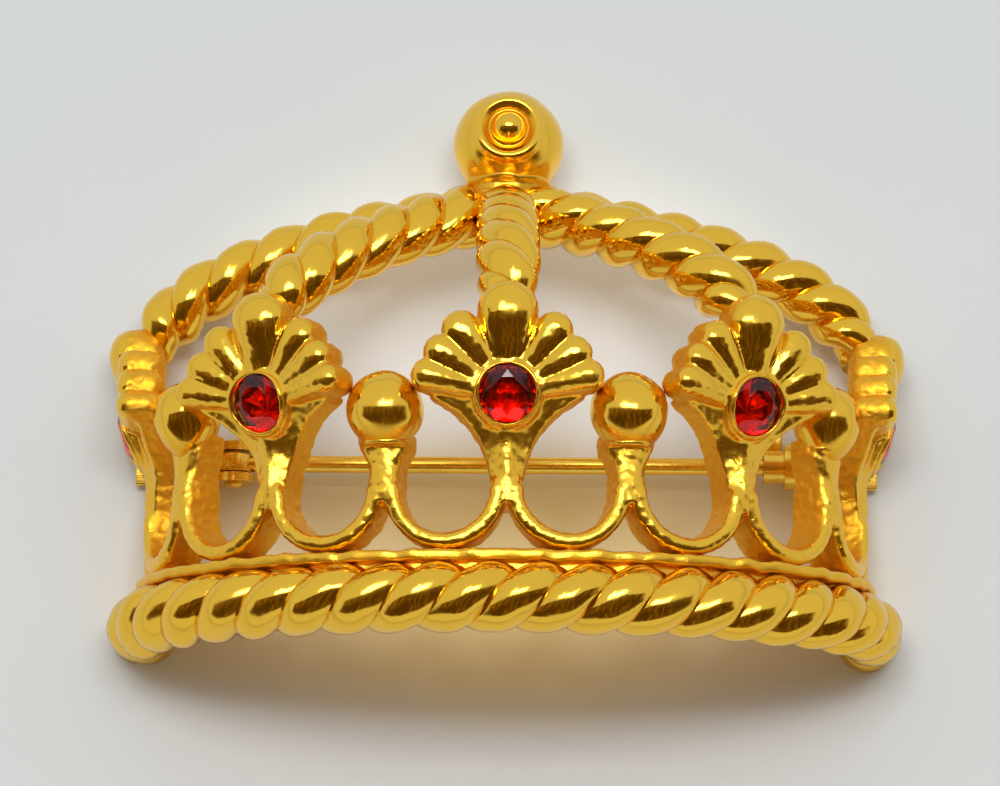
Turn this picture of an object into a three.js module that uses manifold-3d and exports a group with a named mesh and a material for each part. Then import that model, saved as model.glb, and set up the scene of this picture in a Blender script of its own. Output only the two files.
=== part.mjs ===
// Gold-plated half-crown brooch with red stones and a hinged pin across its open back.
// Millimetres. The brooch lies on its back: +X runs along the rim, +Y from the rim to the orb,
// +Z out of the open back towards the front of the crown.

import * as THREE from 'three';
import { mergeVertices } from 'three/addons/utils/BufferGeometryUtils.js';
import Module from 'manifold-3d';

const wasm = await Module();
wasm.setup();

// ---------------------------------------------------------------- driving dimensions

const GAP = 0.1;                 // between neighbouring pieces
const RUNNING_CLEARANCE = 0.06;  // between pieces that turn in one another
const BACK_PLANE = 0.35;         // height at which the casting is ground flat behind

// Plan of the crown: half an ellipse whose ends run straight down to the back.
const RIM_HALF_WIDTH = 21.3;     // across, to the middle of the rim rope
const RIM_BULGE = 14.5;          // from the ends of the ellipse to its front
const RIM_END_RISE = 1.9;        // straight stretch under each end

// Twisted ropes.
const STRANDS = 3;
const ROPE_LAY = 7.3;            // one full turn of a strand
const RIM_ROPE_RADIUS = 2.0;
const ARCH_ROPE_RADIUS = 1.85;
const STRAND_SHARE = 0.48;       // strand radius over rope radius
const GROOVE_SHARE = 0.68;       // radius at the bottom of a groove over rope radius

// Ledge between the rim rope and the gallery.
const LEDGE_THICKNESS = 0.8;
const LEDGE_DEPTH = 2.9;

// Gallery: posts joined by hanging loops.
const LAST_POST = 4;             // posts are numbered both ways from the centre one, 0
const END_POST_SETBACK = 0.9;    // of the last posts, from the ends of the ellipse
const END_LOOP_SHORTER = 0.73;   // the loop before the last post, against the others
const POST_WIDTH = 2.1;
const WALL_THICKNESS = 2.5;
const WALL_INSET = 1.2;          // middle of the wall, inside the middle of the rim rope
const LOOP_STRIP = 1.1;
const LOOP_DROP = 3.6;           // from the middle of a loop's ellipse to the ledge
const FORK_DROP = 0.9;           // from the middle of a loop's ellipse to the forks of the posts

// Fleurons, measured up from the forks.
const STEM_STRAIGHT = 1.8;       // parallel part of the stem
const STEM_FLARE = { out: 0.5, down: 1.4 };
const LEAN_START = 0.9;          // stems lean outwards between these two heights
const LEAN_END = 4.3;
const LEAN = 1.3;
const STONE_RISE = 5.9;
const HEAD_THICKNESS = 2.4;
const UNDERSIDE_HALF_WIDTH = 5.0;
const UNDERSIDE_RISE = 0.6;      // of the lowest lobes' underside, above the stone

// Lobes and bulb, measured from the stone.
const LOBE_ANGLES = [30, 50, 69];
const LOBE_REACH = 5.3;
const LOBE_RADIUS = 0.92;
const BULB_REACH = 6.05;
const BULB_RADIUS = 1.7;
const BULB_PROUD = 0.7;

// Stones and their bezels.
const STONE_RADIUS = 1.5;
const STONE_CROWN = 0.45;
const STONE_PAVILION = 1.0;
const STONE_TABLE_SHARE = 0.58;
const BEZEL_WALL = 0.35;
const BEZEL_PROUD = 0.3;

// Balls on the short posts, measured up from the forks.
const INNER_BALL = { radius: 2.2, rise: 5.4 };
const OUTER_BALL = { radius: 1.9, rise: 5.7 };
const BALL_SHIFT = 0.6;          // outwards from the middle of the wall
const CUP_HALF_WIDTH = 1.45;
const CUP_START = 2.3;
const CUP_RISE = 0.6;
const CUP_TOP_SHARE = 0.8;       // of the ball's radius, from its middle down to the rim of its cup

// Arches, crossing boss and orb, each measured up from the piece below it.
const ARCH_START_DROP = 1.15;    // from the top of a fleuron to the foot of its arch
const ARCH_START_SHIFT = -0.4;   // outwards from the middle of the rim rope
const ARCH_RISE = 9.0;
const OUTER_SHOULDER = { out: 0.97, up: 0.66 };
const FRONT_SHOULDER = { out: 0.95, up: 0.5 };
const BOSS_RADIUS = 2.9;
const BOSS_BELOW = 1.7;          // from the end of the arches
const BOSS_ABOVE = 0.8;
const BOSS_EDGE = 0.7;
const COLLAR_RADIUS = 2.5;
const COLLAR_HEIGHT = 1.0;
const ORB_RADIUS = 3.25;
const ORB_SEAT_DEPTH = 1.35;     // cut off the bottom of the orb, where it stands on its collar
const ORB_RING = { radius: 1.75, wire: 0.36 };
const ORB_BEAD = { radius: 0.95, sink: 0.35 };
const ORB_FACE_TILT = THREE.MathUtils.degToRad(8);

// Pin, its joint and its catch, placed from the middle of the rim rope.
const PIN_RISE = 4.6;            // above the forks
const PIN_RADIUS = 0.5;
const PIN_POINT_RADIUS = 0.15;
const PIN_POINT_LENGTH = 2.5;
const PIVOT_INSET = 5.2;
const PIN_TIP_INSET = 3.4;
const CATCH_INSET = 4.9;
const PLATE_OUTSET = 0.7;
const PLATE_THICKNESS = 0.65;
const PLATE_CLEARANCE = 0.35;    // between a plate and the pin's eye, or its catch
const EYE_WALL = 0.5;            // of the eye round the pin's own radius
const EYE_SPARE = 0.1;           // width of the eye over the pin's diameter
const EAR_THICKNESS = 0.5;
const EAR_WALL = 0.25;           // of the ears round the eye
const WEB_OVERLAP = 0.9;         // length over which the ears stand on their plate
const WEB_TOP_SHARE = 0.6;       // height of a web above the pivot over the ear's radius
const RIVET_RADIUS = 0.35;
const RIVET_HEAD = { radius: 0.55, height: 0.2 };
const SLEEVE_PLAY = 0.23;        // round the pin
const SLEEVE_WALL = 0.26;
const SLEEVE_LENGTH = 2.6;
const SLEEVE_SLOT_SPARE = 0.2;   // width of the slot over the pin's diameter
const CATCH_WALL = 0.3;
const CATCH_LENGTH = 1.4;
const CATCH_SLOT_SPARE = 0.5;    // width of the hook's slot over the sleeve's
const BRIDGE = { overlap: 0.3, above: 0.5 };
const THUMB_TAB = { reach: 0.9, thickness: 0.5 };

// Fineness of the modelled surfaces.
const MERGE = 1e-4;              // vertices closer than this are one
const ROPE_STEP = 0.9;           // length of one modelled slice of rope
const SECTION_POINTS = 4;        // of a rope's outline, to each strand
const LEDGE_SLICES = 48;
const FINE_SIDES = 20;
const SIDES = 16;
const COARSE_SIDES = 12;
const LOOP_SEGMENTS = 9;
const PAST = 1;                  // cutting tools run this far past what they cut
const FAR = 60;                  // beyond the whole brooch

// ---------------------------------------------------------------- sizes that follow

const ledgeBottom = RIM_ROPE_RADIUS + GAP;
const ledgeTop = ledgeBottom + LEDGE_THICKNESS;
const loopCentre = ledgeTop + LOOP_DROP;
const forkHeight = loopCentre - FORK_DROP;
const stoneHeight = forkHeight + STONE_RISE;
const girdleZ = HEAD_THICKNESS / 2;
const fleuronTop = stoneHeight + BULB_REACH;
const archStart = fleuronTop - ARCH_START_DROP;
const archEnd = archStart + ARCH_RISE;
const crossingZ = ORB_RADIUS;
const bossBottom = archEnd - BOSS_BELOW;
const bossTop = archEnd + BOSS_ABOVE;
const collarTop = bossTop + GAP + COLLAR_HEIGHT;
const orbHeight = collarTop + ORB_RADIUS - ORB_SEAT_DEPTH;

const eyeRadius = PIN_RADIUS + EYE_WALL;
const eyeWidth = 2 * PIN_RADIUS + EYE_SPARE;
const earRadius = eyeRadius + EAR_WALL;
const halfPlate = eyeWidth / 2 + 2 * RUNNING_CLEARANCE + EAR_THICKNESS;
const sleeveRadius = PIN_RADIUS + SLEEVE_PLAY + SLEEVE_WALL;
const catchRadius = sleeveRadius + RUNNING_CLEARANCE + CATCH_WALL;
const sleeveSlot = 2 * PIN_RADIUS + SLEEVE_SLOT_SPARE;
const catchSlot = sleeveSlot + CATCH_SLOT_SPARE;
const pinHeight = forkHeight + PIN_RISE;
const pinZ = BACK_PLANE + catchRadius + GAP / 2;
const pivotX = PIVOT_INSET - RIM_HALF_WIDTH;
const pinTipX = RIM_HALF_WIDTH - PIN_TIP_INSET;
const catchX = RIM_HALF_WIDTH - CATCH_INSET;
const catchEndX = catchX + CATCH_LENGTH;
const plateOuterX = RIM_HALF_WIDTH + PLATE_OUTSET;
const plateTop = BACK_PLANE + PLATE_THICKNESS;

// ---------------------------------------------------------------- finishes

const gold = () => new THREE.MeshStandardMaterial({ color: 0xd9a62e, roughness: 0.22, metalness: 1.0 });
const ruby = () => new THREE.MeshStandardMaterial({ color: 0xb01018, roughness: 0.05, metalness: 0.0 });
const pinGold = () => new THREE.MeshStandardMaterial({ color: 0xcf9a2c, roughness: 0.3, metalness: 1.0 });

// ---------------------------------------------------------------- solids

function toSolid(geometry) {
  const bare = geometry.clone();
  for (const name of Object.keys(bare.attributes)) {
    if (name !== 'position') bare.deleteAttribute(name);
  }
  const merged = mergeVertices(bare, MERGE);
  return new wasm.Manifold(new wasm.Mesh({
    numProp: 3,
    vertProperties: new Float32Array(merged.attributes.position.array),
    triVerts: new Uint32Array(merged.index.array),
  }));
}

function toGeometry(solid) {
  const mesh = solid.getMesh();
  const geometry = new THREE.BufferGeometry();
  geometry.setAttribute('position', new THREE.BufferAttribute(mesh.vertProperties, 3));
  geometry.setIndex(new THREE.BufferAttribute(mesh.triVerts, 1));
  geometry.computeVertexNormals();
  return geometry;
}

function join(geometries) {
  return toGeometry(geometries.map(toSolid).reduce((whole, piece) => whole.add(piece)));
}

function cut(geometry, tools) {
  return toGeometry(tools.map(toSolid).reduce((left, tool) => left.subtract(tool), toSolid(geometry)));
}

function box(low, high) {
  const size = new THREE.Vector3().subVectors(high, low);
  const middle = new THREE.Vector3().addVectors(low, high).multiplyScalar(0.5);
  return new THREE.BoxGeometry(size.x, size.y, size.z).translate(middle.x, middle.y, middle.z);
}

function rod(radius, length, sides = SIDES) {
  return new THREE.CylinderGeometry(radius, radius, length, sides);
}

function slab(shape, thickness, curveSegments) {
  const settings = { depth: thickness, bevelEnabled: false, curveSegments };
  return new THREE.ExtrudeGeometry(shape, settings).translate(0, 0, -thickness / 2);
}

function moveVertices(geometry, move) {
  const position = geometry.attributes.position;
  const point = new THREE.Vector3();
  for (let i = 0; i < position.count; i += 1) {
    move(point.fromBufferAttribute(position, i));
    position.setXYZ(i, point.x, point.y, point.z);
  }
  return geometry;
}

const everythingBehind = box(
  new THREE.Vector3(-FAR, -FAR, -FAR),
  new THREE.Vector3(FAR, FAR, BACK_PLANE),
);

function groundFlat(geometry) {
  return cut(geometry, [everythingBehind]);
}

// ---------------------------------------------------------------- plan of the crown

const plan = new THREE.EllipseCurve(0, RIM_END_RISE, RIM_HALF_WIDTH, RIM_BULGE, Math.PI, 0, true);
plan.arcLengthDivisions = 600;
const planHalfLength = plan.getLength() / 2;

// Frame of the wall at a distance along the rim from its front: a point, the way along and the way out.
function wallFrame(along) {
  const within = THREE.MathUtils.clamp(along, -planHalfLength, planHalfLength);
  const share = (within / planHalfLength + 1) / 2;
  const point = plan.getPointAt(share);
  const tangent = plan.getTangentAt(share);
  point.addScaledVector(tangent, along - within);
  return {
    origin: new THREE.Vector3(point.x, 0, point.y),
    forward: new THREE.Vector3(tangent.x, 0, tangent.y),
    outward: new THREE.Vector3(-tangent.y, 0, tangent.x),
  };
}

// Bends a piece drawn flat, x along the rim, y up the crown and z outwards, onto the wall.
function wrap(geometry) {
  return moveVertices(geometry, (point) => {
    const { y: height, z: out } = point;
    const { origin, outward } = wallFrame(point.x);
    point.copy(origin).addScaledVector(outward, out);
    point.y = height;
  });
}

// Stands a rigid piece, drawn in the same way, on the wall.
function stand(geometry, along, shift = 0) {
  const { origin, forward, outward } = wallFrame(along);
  const up = new THREE.Vector3(0, 1, 0);
  const place = new THREE.Matrix4().makeBasis(forward, up, outward);
  place.setPosition(origin.addScaledVector(outward, shift));
  return geometry.applyMatrix4(place);
}

// ---------------------------------------------------------------- twisted ropes

function ropeSection(radius) {
  const strand = radius * STRAND_SHARE;
  const offset = radius - strand;
  const points = [];
  for (let i = 0; i < STRANDS * SECTION_POINTS; i += 1) {
    const angle = (i / (STRANDS * SECTION_POINTS)) * 2 * Math.PI;
    const away = ((i % SECTION_POINTS) / SECTION_POINTS) * (2 * Math.PI / STRANDS);
    const nearest = Math.min(away, 2 * Math.PI / STRANDS - away);
    const half = strand ** 2 - (offset * Math.sin(nearest)) ** 2;
    const reach = offset * Math.cos(nearest) + Math.sqrt(Math.max(half, 0));
    const bounded = Math.max(reach, radius * GROOVE_SHARE);
    points.push(new THREE.Vector2(bounded * Math.cos(angle), bounded * Math.sin(angle)));
  }
  return new THREE.Shape(points);
}

// Swaps two corners of every triangle, which turns a mirrored shape the right way out again.
function turnFaces(geometry) {
  const position = geometry.attributes.position;
  const second = new THREE.Vector3();
  const third = new THREE.Vector3();
  for (let i = 0; i < position.count; i += 3) {
    second.fromBufferAttribute(position, i + 1);
    third.fromBufferAttribute(position, i + 2);
    position.setXYZ(i + 1, third.x, third.y, third.z);
    position.setXYZ(i + 2, second.x, second.y, second.z);
  }
  return geometry;
}

// A left-handed rope from start to end, in the coordinates x = distance, y and z across.
// The bar is laid from end to start, so that the diagonals of its faces follow the strands.
function straightRope(section, start, end, lay) {
  const length = end - start;
  const settings = { depth: length, steps: Math.round(length / ROPE_STEP), bevelEnabled: false };
  const rope = moveVertices(new THREE.ExtrudeGeometry(section, settings), (point) => {
    const turn = lay === Infinity ? 0 : (point.z / lay) * 2 * Math.PI;
    const y = point.x * Math.cos(turn) - point.y * Math.sin(turn);
    const z = point.x * Math.sin(turn) + point.y * Math.cos(turn);
    point.set(end - point.z, y, z);
  });
  return turnFaces(rope);
}

function rimRope() {
  const reach = planHalfLength + RIM_END_RISE;
  return wrap(straightRope(ropeSection(RIM_ROPE_RADIUS), -reach, reach, ROPE_LAY));
}

// ---------------------------------------------------------------- ledge and gallery

function ledge() {
  const reach = planHalfLength + RIM_END_RISE;
  const strip = new THREE.BoxGeometry(2 * reach, LEDGE_THICKNESS, LEDGE_DEPTH, LEDGE_SLICES);
  strip.translate(0, ledgeBottom + LEDGE_THICKNESS / 2, -WALL_INSET);
  return groundFlat(wrap(strip));
}

const lastPostAlong = planHalfLength - END_POST_SETBACK;
const postPitch = (lastPostAlong + END_LOOP_SHORTER) / LAST_POST;

// Distance of a post along the rim from its front; one more post on each side marks where the end loops go.
function postAlong(index) {
  const side = Math.sign(index);
  const count = Math.abs(index);
  if (count < LAST_POST) return index * postPitch;
  return side * (lastPostAlong + (count - LAST_POST) * postPitch);
}

// The hanging strip between two posts, its ends level with the forks of the posts.
function galleryLoop(from, to) {
  const along = (from + to) / 2;
  const halfSpan = (to - from) / 2 - GAP / 2;
  const outerAcross = halfSpan;
  const innerAcross = halfSpan - LOOP_STRIP;
  const outerDown = LOOP_DROP - GAP;
  const innerDown = outerDown - LOOP_STRIP;
  const endAngle = (down) => Math.asin(FORK_DROP / down);
  const outerEnd = endAngle(outerDown);
  const innerEnd = endAngle(innerDown);
  const shape = new THREE.Shape();
  shape.absellipse(0, loopCentre, outerAcross, outerDown, Math.PI + outerEnd, 2 * Math.PI - outerEnd, false, 0);
  shape.absellipse(0, loopCentre, innerAcross, innerDown, 2 * Math.PI - innerEnd, Math.PI + innerEnd, true, 0);
  const strip = slab(shape, WALL_THICKNESS, LOOP_SEGMENTS).translate(along, 0, -WALL_INSET);
  return groundFlat(wrap(strip));
}

function ballPost(along, ballRadius, ballHeight) {
  const half = POST_WIDTH / 2;
  const cupStart = forkHeight + CUP_START;
  const cupEdge = cupStart + CUP_RISE;
  const cupTop = ballHeight - ballRadius * CUP_TOP_SHARE;
  const shape = new THREE.Shape();
  shape.moveTo(-half, forkHeight + GAP);
  shape.lineTo(half, forkHeight + GAP);
  shape.lineTo(half, cupStart);
  shape.lineTo(CUP_HALF_WIDTH, cupEdge);
  shape.lineTo(CUP_HALF_WIDTH, cupTop);
  shape.lineTo(-CUP_HALF_WIDTH, cupTop);
  shape.lineTo(-CUP_HALF_WIDTH, cupEdge);
  shape.lineTo(-half, cupStart);
  shape.closePath();
  const seat = new THREE.SphereGeometry(ballRadius + GAP, SIDES, COARSE_SIDES);
  seat.translate(0, ballHeight, BALL_SHIFT);
  return stand(cut(slab(shape, WALL_THICKNESS), [seat]), along, -WALL_INSET);
}

function ball(along, radius, height) {
  const sphere = new THREE.SphereGeometry(radius, SIDES, COARSE_SIDES).translate(0, height, BALL_SHIFT);
  return stand(sphere, along, -WALL_INSET);
}

// ---------------------------------------------------------------- fleurons and stones

// Carries a head outwards of its stem.
function leanHead(geometry) {
  return moveVertices(geometry, (point) => {
    const share = (point.y - forkHeight - LEAN_START) / (LEAN_END - LEAN_START);
    point.z += LEAN * THREE.MathUtils.clamp(share, 0, 1);
  });
}

function lobe(angleDegrees, reach, radius, thickness) {
  const angle = THREE.MathUtils.degToRad(angleDegrees);
  const disc = rod(radius, thickness, COARSE_SIDES).rotateX(Math.PI / 2);
  const distance = reach - radius;
  const across = distance * Math.sin(angle);
  const up = stoneHeight + distance * Math.cos(angle);
  return disc.translate(across, up, (thickness - HEAD_THICKNESS) / 2);
}

function fleuronBody() {
  const half = POST_WIDTH / 2;
  const stemTop = forkHeight + STEM_STRAIGHT;
  const underside = stoneHeight + UNDERSIDE_RISE;
  const flareOut = half + STEM_FLARE.out;
  const flareUp = underside - STEM_FLARE.down;
  const lobeAt = (side, angleDegrees) => {
    const angle = THREE.MathUtils.degToRad(angleDegrees);
    const distance = LOBE_REACH - LOBE_RADIUS;
    return [side * distance * Math.sin(angle), stoneHeight + distance * Math.cos(angle)];
  };
  const shape = new THREE.Shape();
  shape.moveTo(-half, forkHeight + GAP);
  shape.lineTo(half, forkHeight + GAP);
  shape.lineTo(half, stemTop);
  shape.quadraticCurveTo(flareOut, flareUp, UNDERSIDE_HALF_WIDTH, underside);
  for (const angle of [...LOBE_ANGLES].reverse()) shape.lineTo(...lobeAt(1, angle));
  shape.lineTo(0, stoneHeight + BULB_REACH - BULB_RADIUS);
  for (const angle of LOBE_ANGLES) shape.lineTo(...lobeAt(-1, angle));
  shape.lineTo(-UNDERSIDE_HALF_WIDTH, underside);
  shape.quadraticCurveTo(-flareOut, flareUp, -half, stemTop);
  shape.closePath();
  return slab(shape, HEAD_THICKNESS, LOOP_SEGMENTS);
}

// Turned outline of the hole that a stone sits in, girdle at z = 0.
function stoneSeat() {
  const radius = STONE_RADIUS + GAP;
  const top = STONE_CROWN + BEZEL_PROUD + PAST;
  const outline = [
    new THREE.Vector2(0, -STONE_PAVILION - 2 * GAP),
    new THREE.Vector2(radius, -2 * GAP),
    new THREE.Vector2(radius, top),
    new THREE.Vector2(0, top),
  ];
  return new THREE.LatheGeometry(outline, SIDES).rotateX(Math.PI / 2);
}

function fleuron() {
  const bezelHeight = HEAD_THICKNESS / 2 + BEZEL_PROUD;
  const bezel = rod(STONE_RADIUS + GAP + BEZEL_WALL, bezelHeight).rotateX(Math.PI / 2);
  bezel.translate(0, stoneHeight, bezelHeight / 2);
  const lobes = LOBE_ANGLES.flatMap((angle) => [
    lobe(angle, LOBE_REACH, LOBE_RADIUS, HEAD_THICKNESS),
    lobe(-angle, LOBE_REACH, LOBE_RADIUS, HEAD_THICKNESS),
  ]);
  const bulb = lobe(0, BULB_REACH, BULB_RADIUS, HEAD_THICKNESS + BULB_PROUD);
  const seat = stoneSeat().translate(0, stoneHeight, girdleZ);
  return leanHead(cut(join([fleuronBody(), ...lobes, bulb, bezel]), [seat]));
}

function stone() {
  const outline = [
    new THREE.Vector2(0, -STONE_PAVILION),
    new THREE.Vector2(STONE_RADIUS, -GAP / 2),
    new THREE.Vector2(STONE_RADIUS, GAP / 2),
    new THREE.Vector2(STONE_RADIUS * STONE_TABLE_SHARE, STONE_CROWN),
    new THREE.Vector2(0, STONE_CROWN),
  ];
  const turned = new THREE.LatheGeometry(outline, SIDES).rotateX(Math.PI / 2);
  return leanHead(turned.translate(0, stoneHeight, girdleZ));
}

// ---------------------------------------------------------------- arches, boss and orb

// The arch that springs from the fleuron at a distance along the rim, as a curve in its own upright plane.
function archCurve(along, shoulder) {
  const { origin, outward } = wallFrame(along);
  const foot = origin.clone().addScaledVector(outward, ARCH_START_SHIFT);
  const crossing = new THREE.Vector3(0, 0, crossingZ);
  const at = (out, up) => {
    const point = crossing.clone().lerp(foot, out);
    point.y = archStart + ARCH_RISE * up;
    return point;
  };
  const curve = new THREE.QuadraticBezierCurve3(at(1, 0), at(shoulder.out, shoulder.up), at(0, 1));
  const side = new THREE.Vector3().subVectors(foot, crossing).cross(new THREE.Vector3(0, 1, 0)).normalize();
  return { curve, side };
}

function alongArch({ curve, side }, section, lay) {
  const length = curve.getLength();
  return moveVertices(straightRope(section, 0, length, lay), (point) => {
    const share = THREE.MathUtils.clamp(point.x / length, 0, 1);
    const tangent = curve.getTangentAt(share);
    const over = new THREE.Vector3().crossVectors(side, tangent);
    const { y, z } = point;
    point.copy(curve.getPointAt(share)).addScaledVector(over, y).addScaledVector(side, z);
  });
}

function roundSection(radius) {
  const shape = new THREE.Shape();
  shape.absarc(0, 0, radius, 0, 2 * Math.PI, false);
  return new THREE.Shape(shape.getPoints(COARSE_SIDES).slice(0, -1));
}

const footCut = box(new THREE.Vector3(-FAR, 0, -FAR), new THREE.Vector3(FAR, fleuronTop + GAP, FAR));

function crossingCut() {
  const height = 2 * (BOSS_ABOVE + BOSS_BELOW + ARCH_RISE);
  return rod(BOSS_RADIUS + GAP, height, FINE_SIDES).translate(0, archEnd, crossingZ);
}

function arch(path, neighbours) {
  const rope = alongArch(path, ropeSection(ARCH_ROPE_RADIUS), ROPE_LAY);
  const envelope = roundSection(ARCH_ROPE_RADIUS + GAP);
  const clearances = neighbours.map((other) => alongArch(other, envelope, Infinity));
  return groundFlat(cut(rope, [footCut, crossingCut(), ...clearances]));
}

function crossingBoss() {
  const outline = [
    new THREE.Vector2(0, bossBottom),
    new THREE.Vector2(BOSS_RADIUS - BOSS_EDGE, bossBottom),
    new THREE.Vector2(BOSS_RADIUS, bossBottom + BOSS_EDGE),
    new THREE.Vector2(BOSS_RADIUS, bossTop - BOSS_EDGE),
    new THREE.Vector2(BOSS_RADIUS - BOSS_EDGE, bossTop),
    new THREE.Vector2(0, bossTop),
  ];
  return groundFlat(new THREE.LatheGeometry(outline, FINE_SIDES).translate(0, 0, crossingZ));
}

function orbCollar() {
  const collar = rod(COLLAR_RADIUS, COLLAR_HEIGHT, FINE_SIDES);
  return collar.translate(0, collarTop - COLLAR_HEIGHT / 2, crossingZ);
}

function orb() {
  const sphere = new THREE.SphereGeometry(ORB_RADIUS, FINE_SIDES, COARSE_SIDES);
  const ring = new THREE.TorusGeometry(ORB_RING.radius, ORB_RING.wire, COARSE_SIDES / 2, SIDES);
  ring.translate(0, 0, Math.sqrt(ORB_RADIUS ** 2 - ORB_RING.radius ** 2));
  const bead = new THREE.SphereGeometry(ORB_BEAD.radius, COARSE_SIDES, COARSE_SIDES / 2);
  bead.translate(0, 0, ORB_RADIUS - ORB_BEAD.sink);
  const whole = join([sphere, ring.rotateX(-ORB_FACE_TILT), bead.rotateX(-ORB_FACE_TILT)]);
  whole.translate(0, orbHeight, crossingZ);
  const below = box(new THREE.Vector3(-FAR, 0, -FAR), new THREE.Vector3(FAR, collarTop + GAP, FAR));
  return cut(whole, [below]);
}

// ---------------------------------------------------------------- pin, joint and catch

// A soldering plate on one side, from its outer end to the given inner end.
function backPlate(side, innerX) {
  const low = Math.min(side * plateOuterX, side * innerX);
  const high = Math.max(side * plateOuterX, side * innerX);
  return box(
    new THREE.Vector3(low, pinHeight - halfPlate, BACK_PLANE),
    new THREE.Vector3(high, pinHeight + halfPlate, plateTop),
  );
}

// The notch that a plate is let into, right through the back of an end fleuron.
function plateNotch(side) {
  const reach = WALL_THICKNESS + HEAD_THICKNESS + PAST;
  return box(
    new THREE.Vector3(side * plateOuterX - reach, pinHeight - halfPlate - GAP, -PAST),
    new THREE.Vector3(side * plateOuterX + reach, pinHeight + halfPlate + GAP, plateTop + GAP),
  );
}

function rivetHole() {
  const length = 2 * (halfPlate + PAST);
  return rod(RIVET_RADIUS + RUNNING_CLEARANCE, length).translate(pivotX, pinHeight, pinZ);
}

function pinJoint() {
  const plateEnd = Math.abs(pivotX) + eyeRadius + PLATE_CLEARANCE;
  const ears = [-1, 1].map((side) => {
    const middle = pinHeight + side * (halfPlate - EAR_THICKNESS / 2);
    const round = rod(earRadius, EAR_THICKNESS, FINE_SIDES).translate(pivotX, middle, pinZ);
    const web = box(
      new THREE.Vector3(-plateEnd - WEB_OVERLAP, middle - EAR_THICKNESS / 2, BACK_PLANE),
      new THREE.Vector3(pivotX, middle + EAR_THICKNESS / 2, pinZ + earRadius * WEB_TOP_SHARE),
    );
    return join([round, web]);
  });
  return groundFlat(cut(join([backPlate(-1, plateEnd), ...ears]), [rivetHole()]));
}

function hingeRivet() {
  const reach = halfPlate + RUNNING_CLEARANCE;
  const outline = [
    new THREE.Vector2(0, -reach - RIVET_HEAD.height),
    new THREE.Vector2(RIVET_HEAD.radius, -reach - RIVET_HEAD.height),
    new THREE.Vector2(RIVET_HEAD.radius, -reach),
    new THREE.Vector2(RIVET_RADIUS, -reach),
    new THREE.Vector2(RIVET_RADIUS, reach),
    new THREE.Vector2(RIVET_HEAD.radius, reach),
    new THREE.Vector2(RIVET_HEAD.radius, reach + RIVET_HEAD.height),
    new THREE.Vector2(0, reach + RIVET_HEAD.height),
  ];
  return new THREE.LatheGeometry(outline, SIDES).translate(pivotX, pinHeight, pinZ);
}

function pinStem() {
  const shaftStart = pivotX + (eyeRadius + RIVET_RADIUS) / 2;
  const outline = [
    new THREE.Vector2(0, shaftStart),
    new THREE.Vector2(PIN_RADIUS, shaftStart),
    new THREE.Vector2(PIN_RADIUS, pinTipX - PIN_POINT_LENGTH),
    new THREE.Vector2(PIN_POINT_RADIUS, pinTipX),
    new THREE.Vector2(0, pinTipX),
  ];
  const shaft = new THREE.LatheGeometry(outline, COARSE_SIDES).rotateZ(-Math.PI / 2);
  shaft.translate(0, pinHeight, pinZ);
  const eye = rod(eyeRadius, eyeWidth, FINE_SIDES).translate(pivotX, pinHeight, pinZ);
  return cut(join([shaft, eye]), [rivetHole()]);
}

// A tube along X around the pin, open through a slot towards the back.
function slottedTube(outerRadius, wall, fromX, length, slot) {
  const middleX = fromX + length / 2;
  const tube = rod(outerRadius, length, FINE_SIDES).rotateZ(Math.PI / 2).translate(middleX, pinHeight, pinZ);
  const bore = rod(outerRadius - wall, length + PAST, FINE_SIDES).rotateZ(Math.PI / 2);
  bore.translate(middleX, pinHeight, pinZ);
  const opening = box(
    new THREE.Vector3(fromX - PAST, pinHeight - slot / 2, pinZ - outerRadius - PAST),
    new THREE.Vector3(fromX + length + PAST, pinHeight + slot / 2, pinZ),
  );
  return cut(tube, [bore, opening]);
}

function catchHook() {
  const plateStart = catchEndX + PLATE_CLEARANCE;
  const shell = slottedTube(catchRadius, CATCH_WALL, catchX, CATCH_LENGTH, catchSlot);
  const plate = backPlate(1, plateStart);
  const bridge = box(
    new THREE.Vector3(catchEndX - BRIDGE.overlap, pinHeight + catchSlot / 2, BACK_PLANE),
    new THREE.Vector3(plateStart + BRIDGE.overlap, pinHeight + halfPlate, pinZ + BRIDGE.above),
  );
  const clear = rod(sleeveRadius + RUNNING_CLEARANCE, 4 * SLEEVE_LENGTH, FINE_SIDES).rotateZ(Math.PI / 2);
  clear.translate(catchEndX, pinHeight, pinZ);
  return groundFlat(cut(join([shell, plate, bridge]), [clear]));
}

function catchSleeve() {
  const fromX = catchEndX - SLEEVE_LENGTH;
  const tube = slottedTube(sleeveRadius, SLEEVE_WALL, fromX, SLEEVE_LENGTH, sleeveSlot);
  const halfTab = THUMB_TAB.thickness / 2;
  const tab = box(
    new THREE.Vector3(fromX, pinHeight + sleeveRadius - SLEEVE_WALL, pinZ - halfTab),
    new THREE.Vector3(catchX - GAP, pinHeight + sleeveRadius + THUMB_TAB.reach, pinZ + halfTab),
  );
  return join([tube, tab]);
}

// ---------------------------------------------------------------- assembly

const crown = new THREE.Group();

function place(name, geometry, material) {
  const mesh = new THREE.Mesh(geometry, material);
  mesh.name = name;
  crown.add(mesh);
}

const sideName = (index) => {
  if (index === 0) return 'centre';
  const side = index < 0 ? 'left' : 'right';
  return Math.abs(index) === 2 ? `front_${side}` : `end_${side}`;
};

place('rim_rope', rimRope(), gold());
place('rim_ledge', ledge(), gold());

// One loop starts at each post and one before the first, the two outermost being cut short by the back.
for (let index = -LAST_POST - 1; index <= LAST_POST; index += 1) {
  const name = `gallery_loop_${index + LAST_POST + 2}`;
  place(name, galleryLoop(postAlong(index), postAlong(index + 1)), gold());
}

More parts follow.
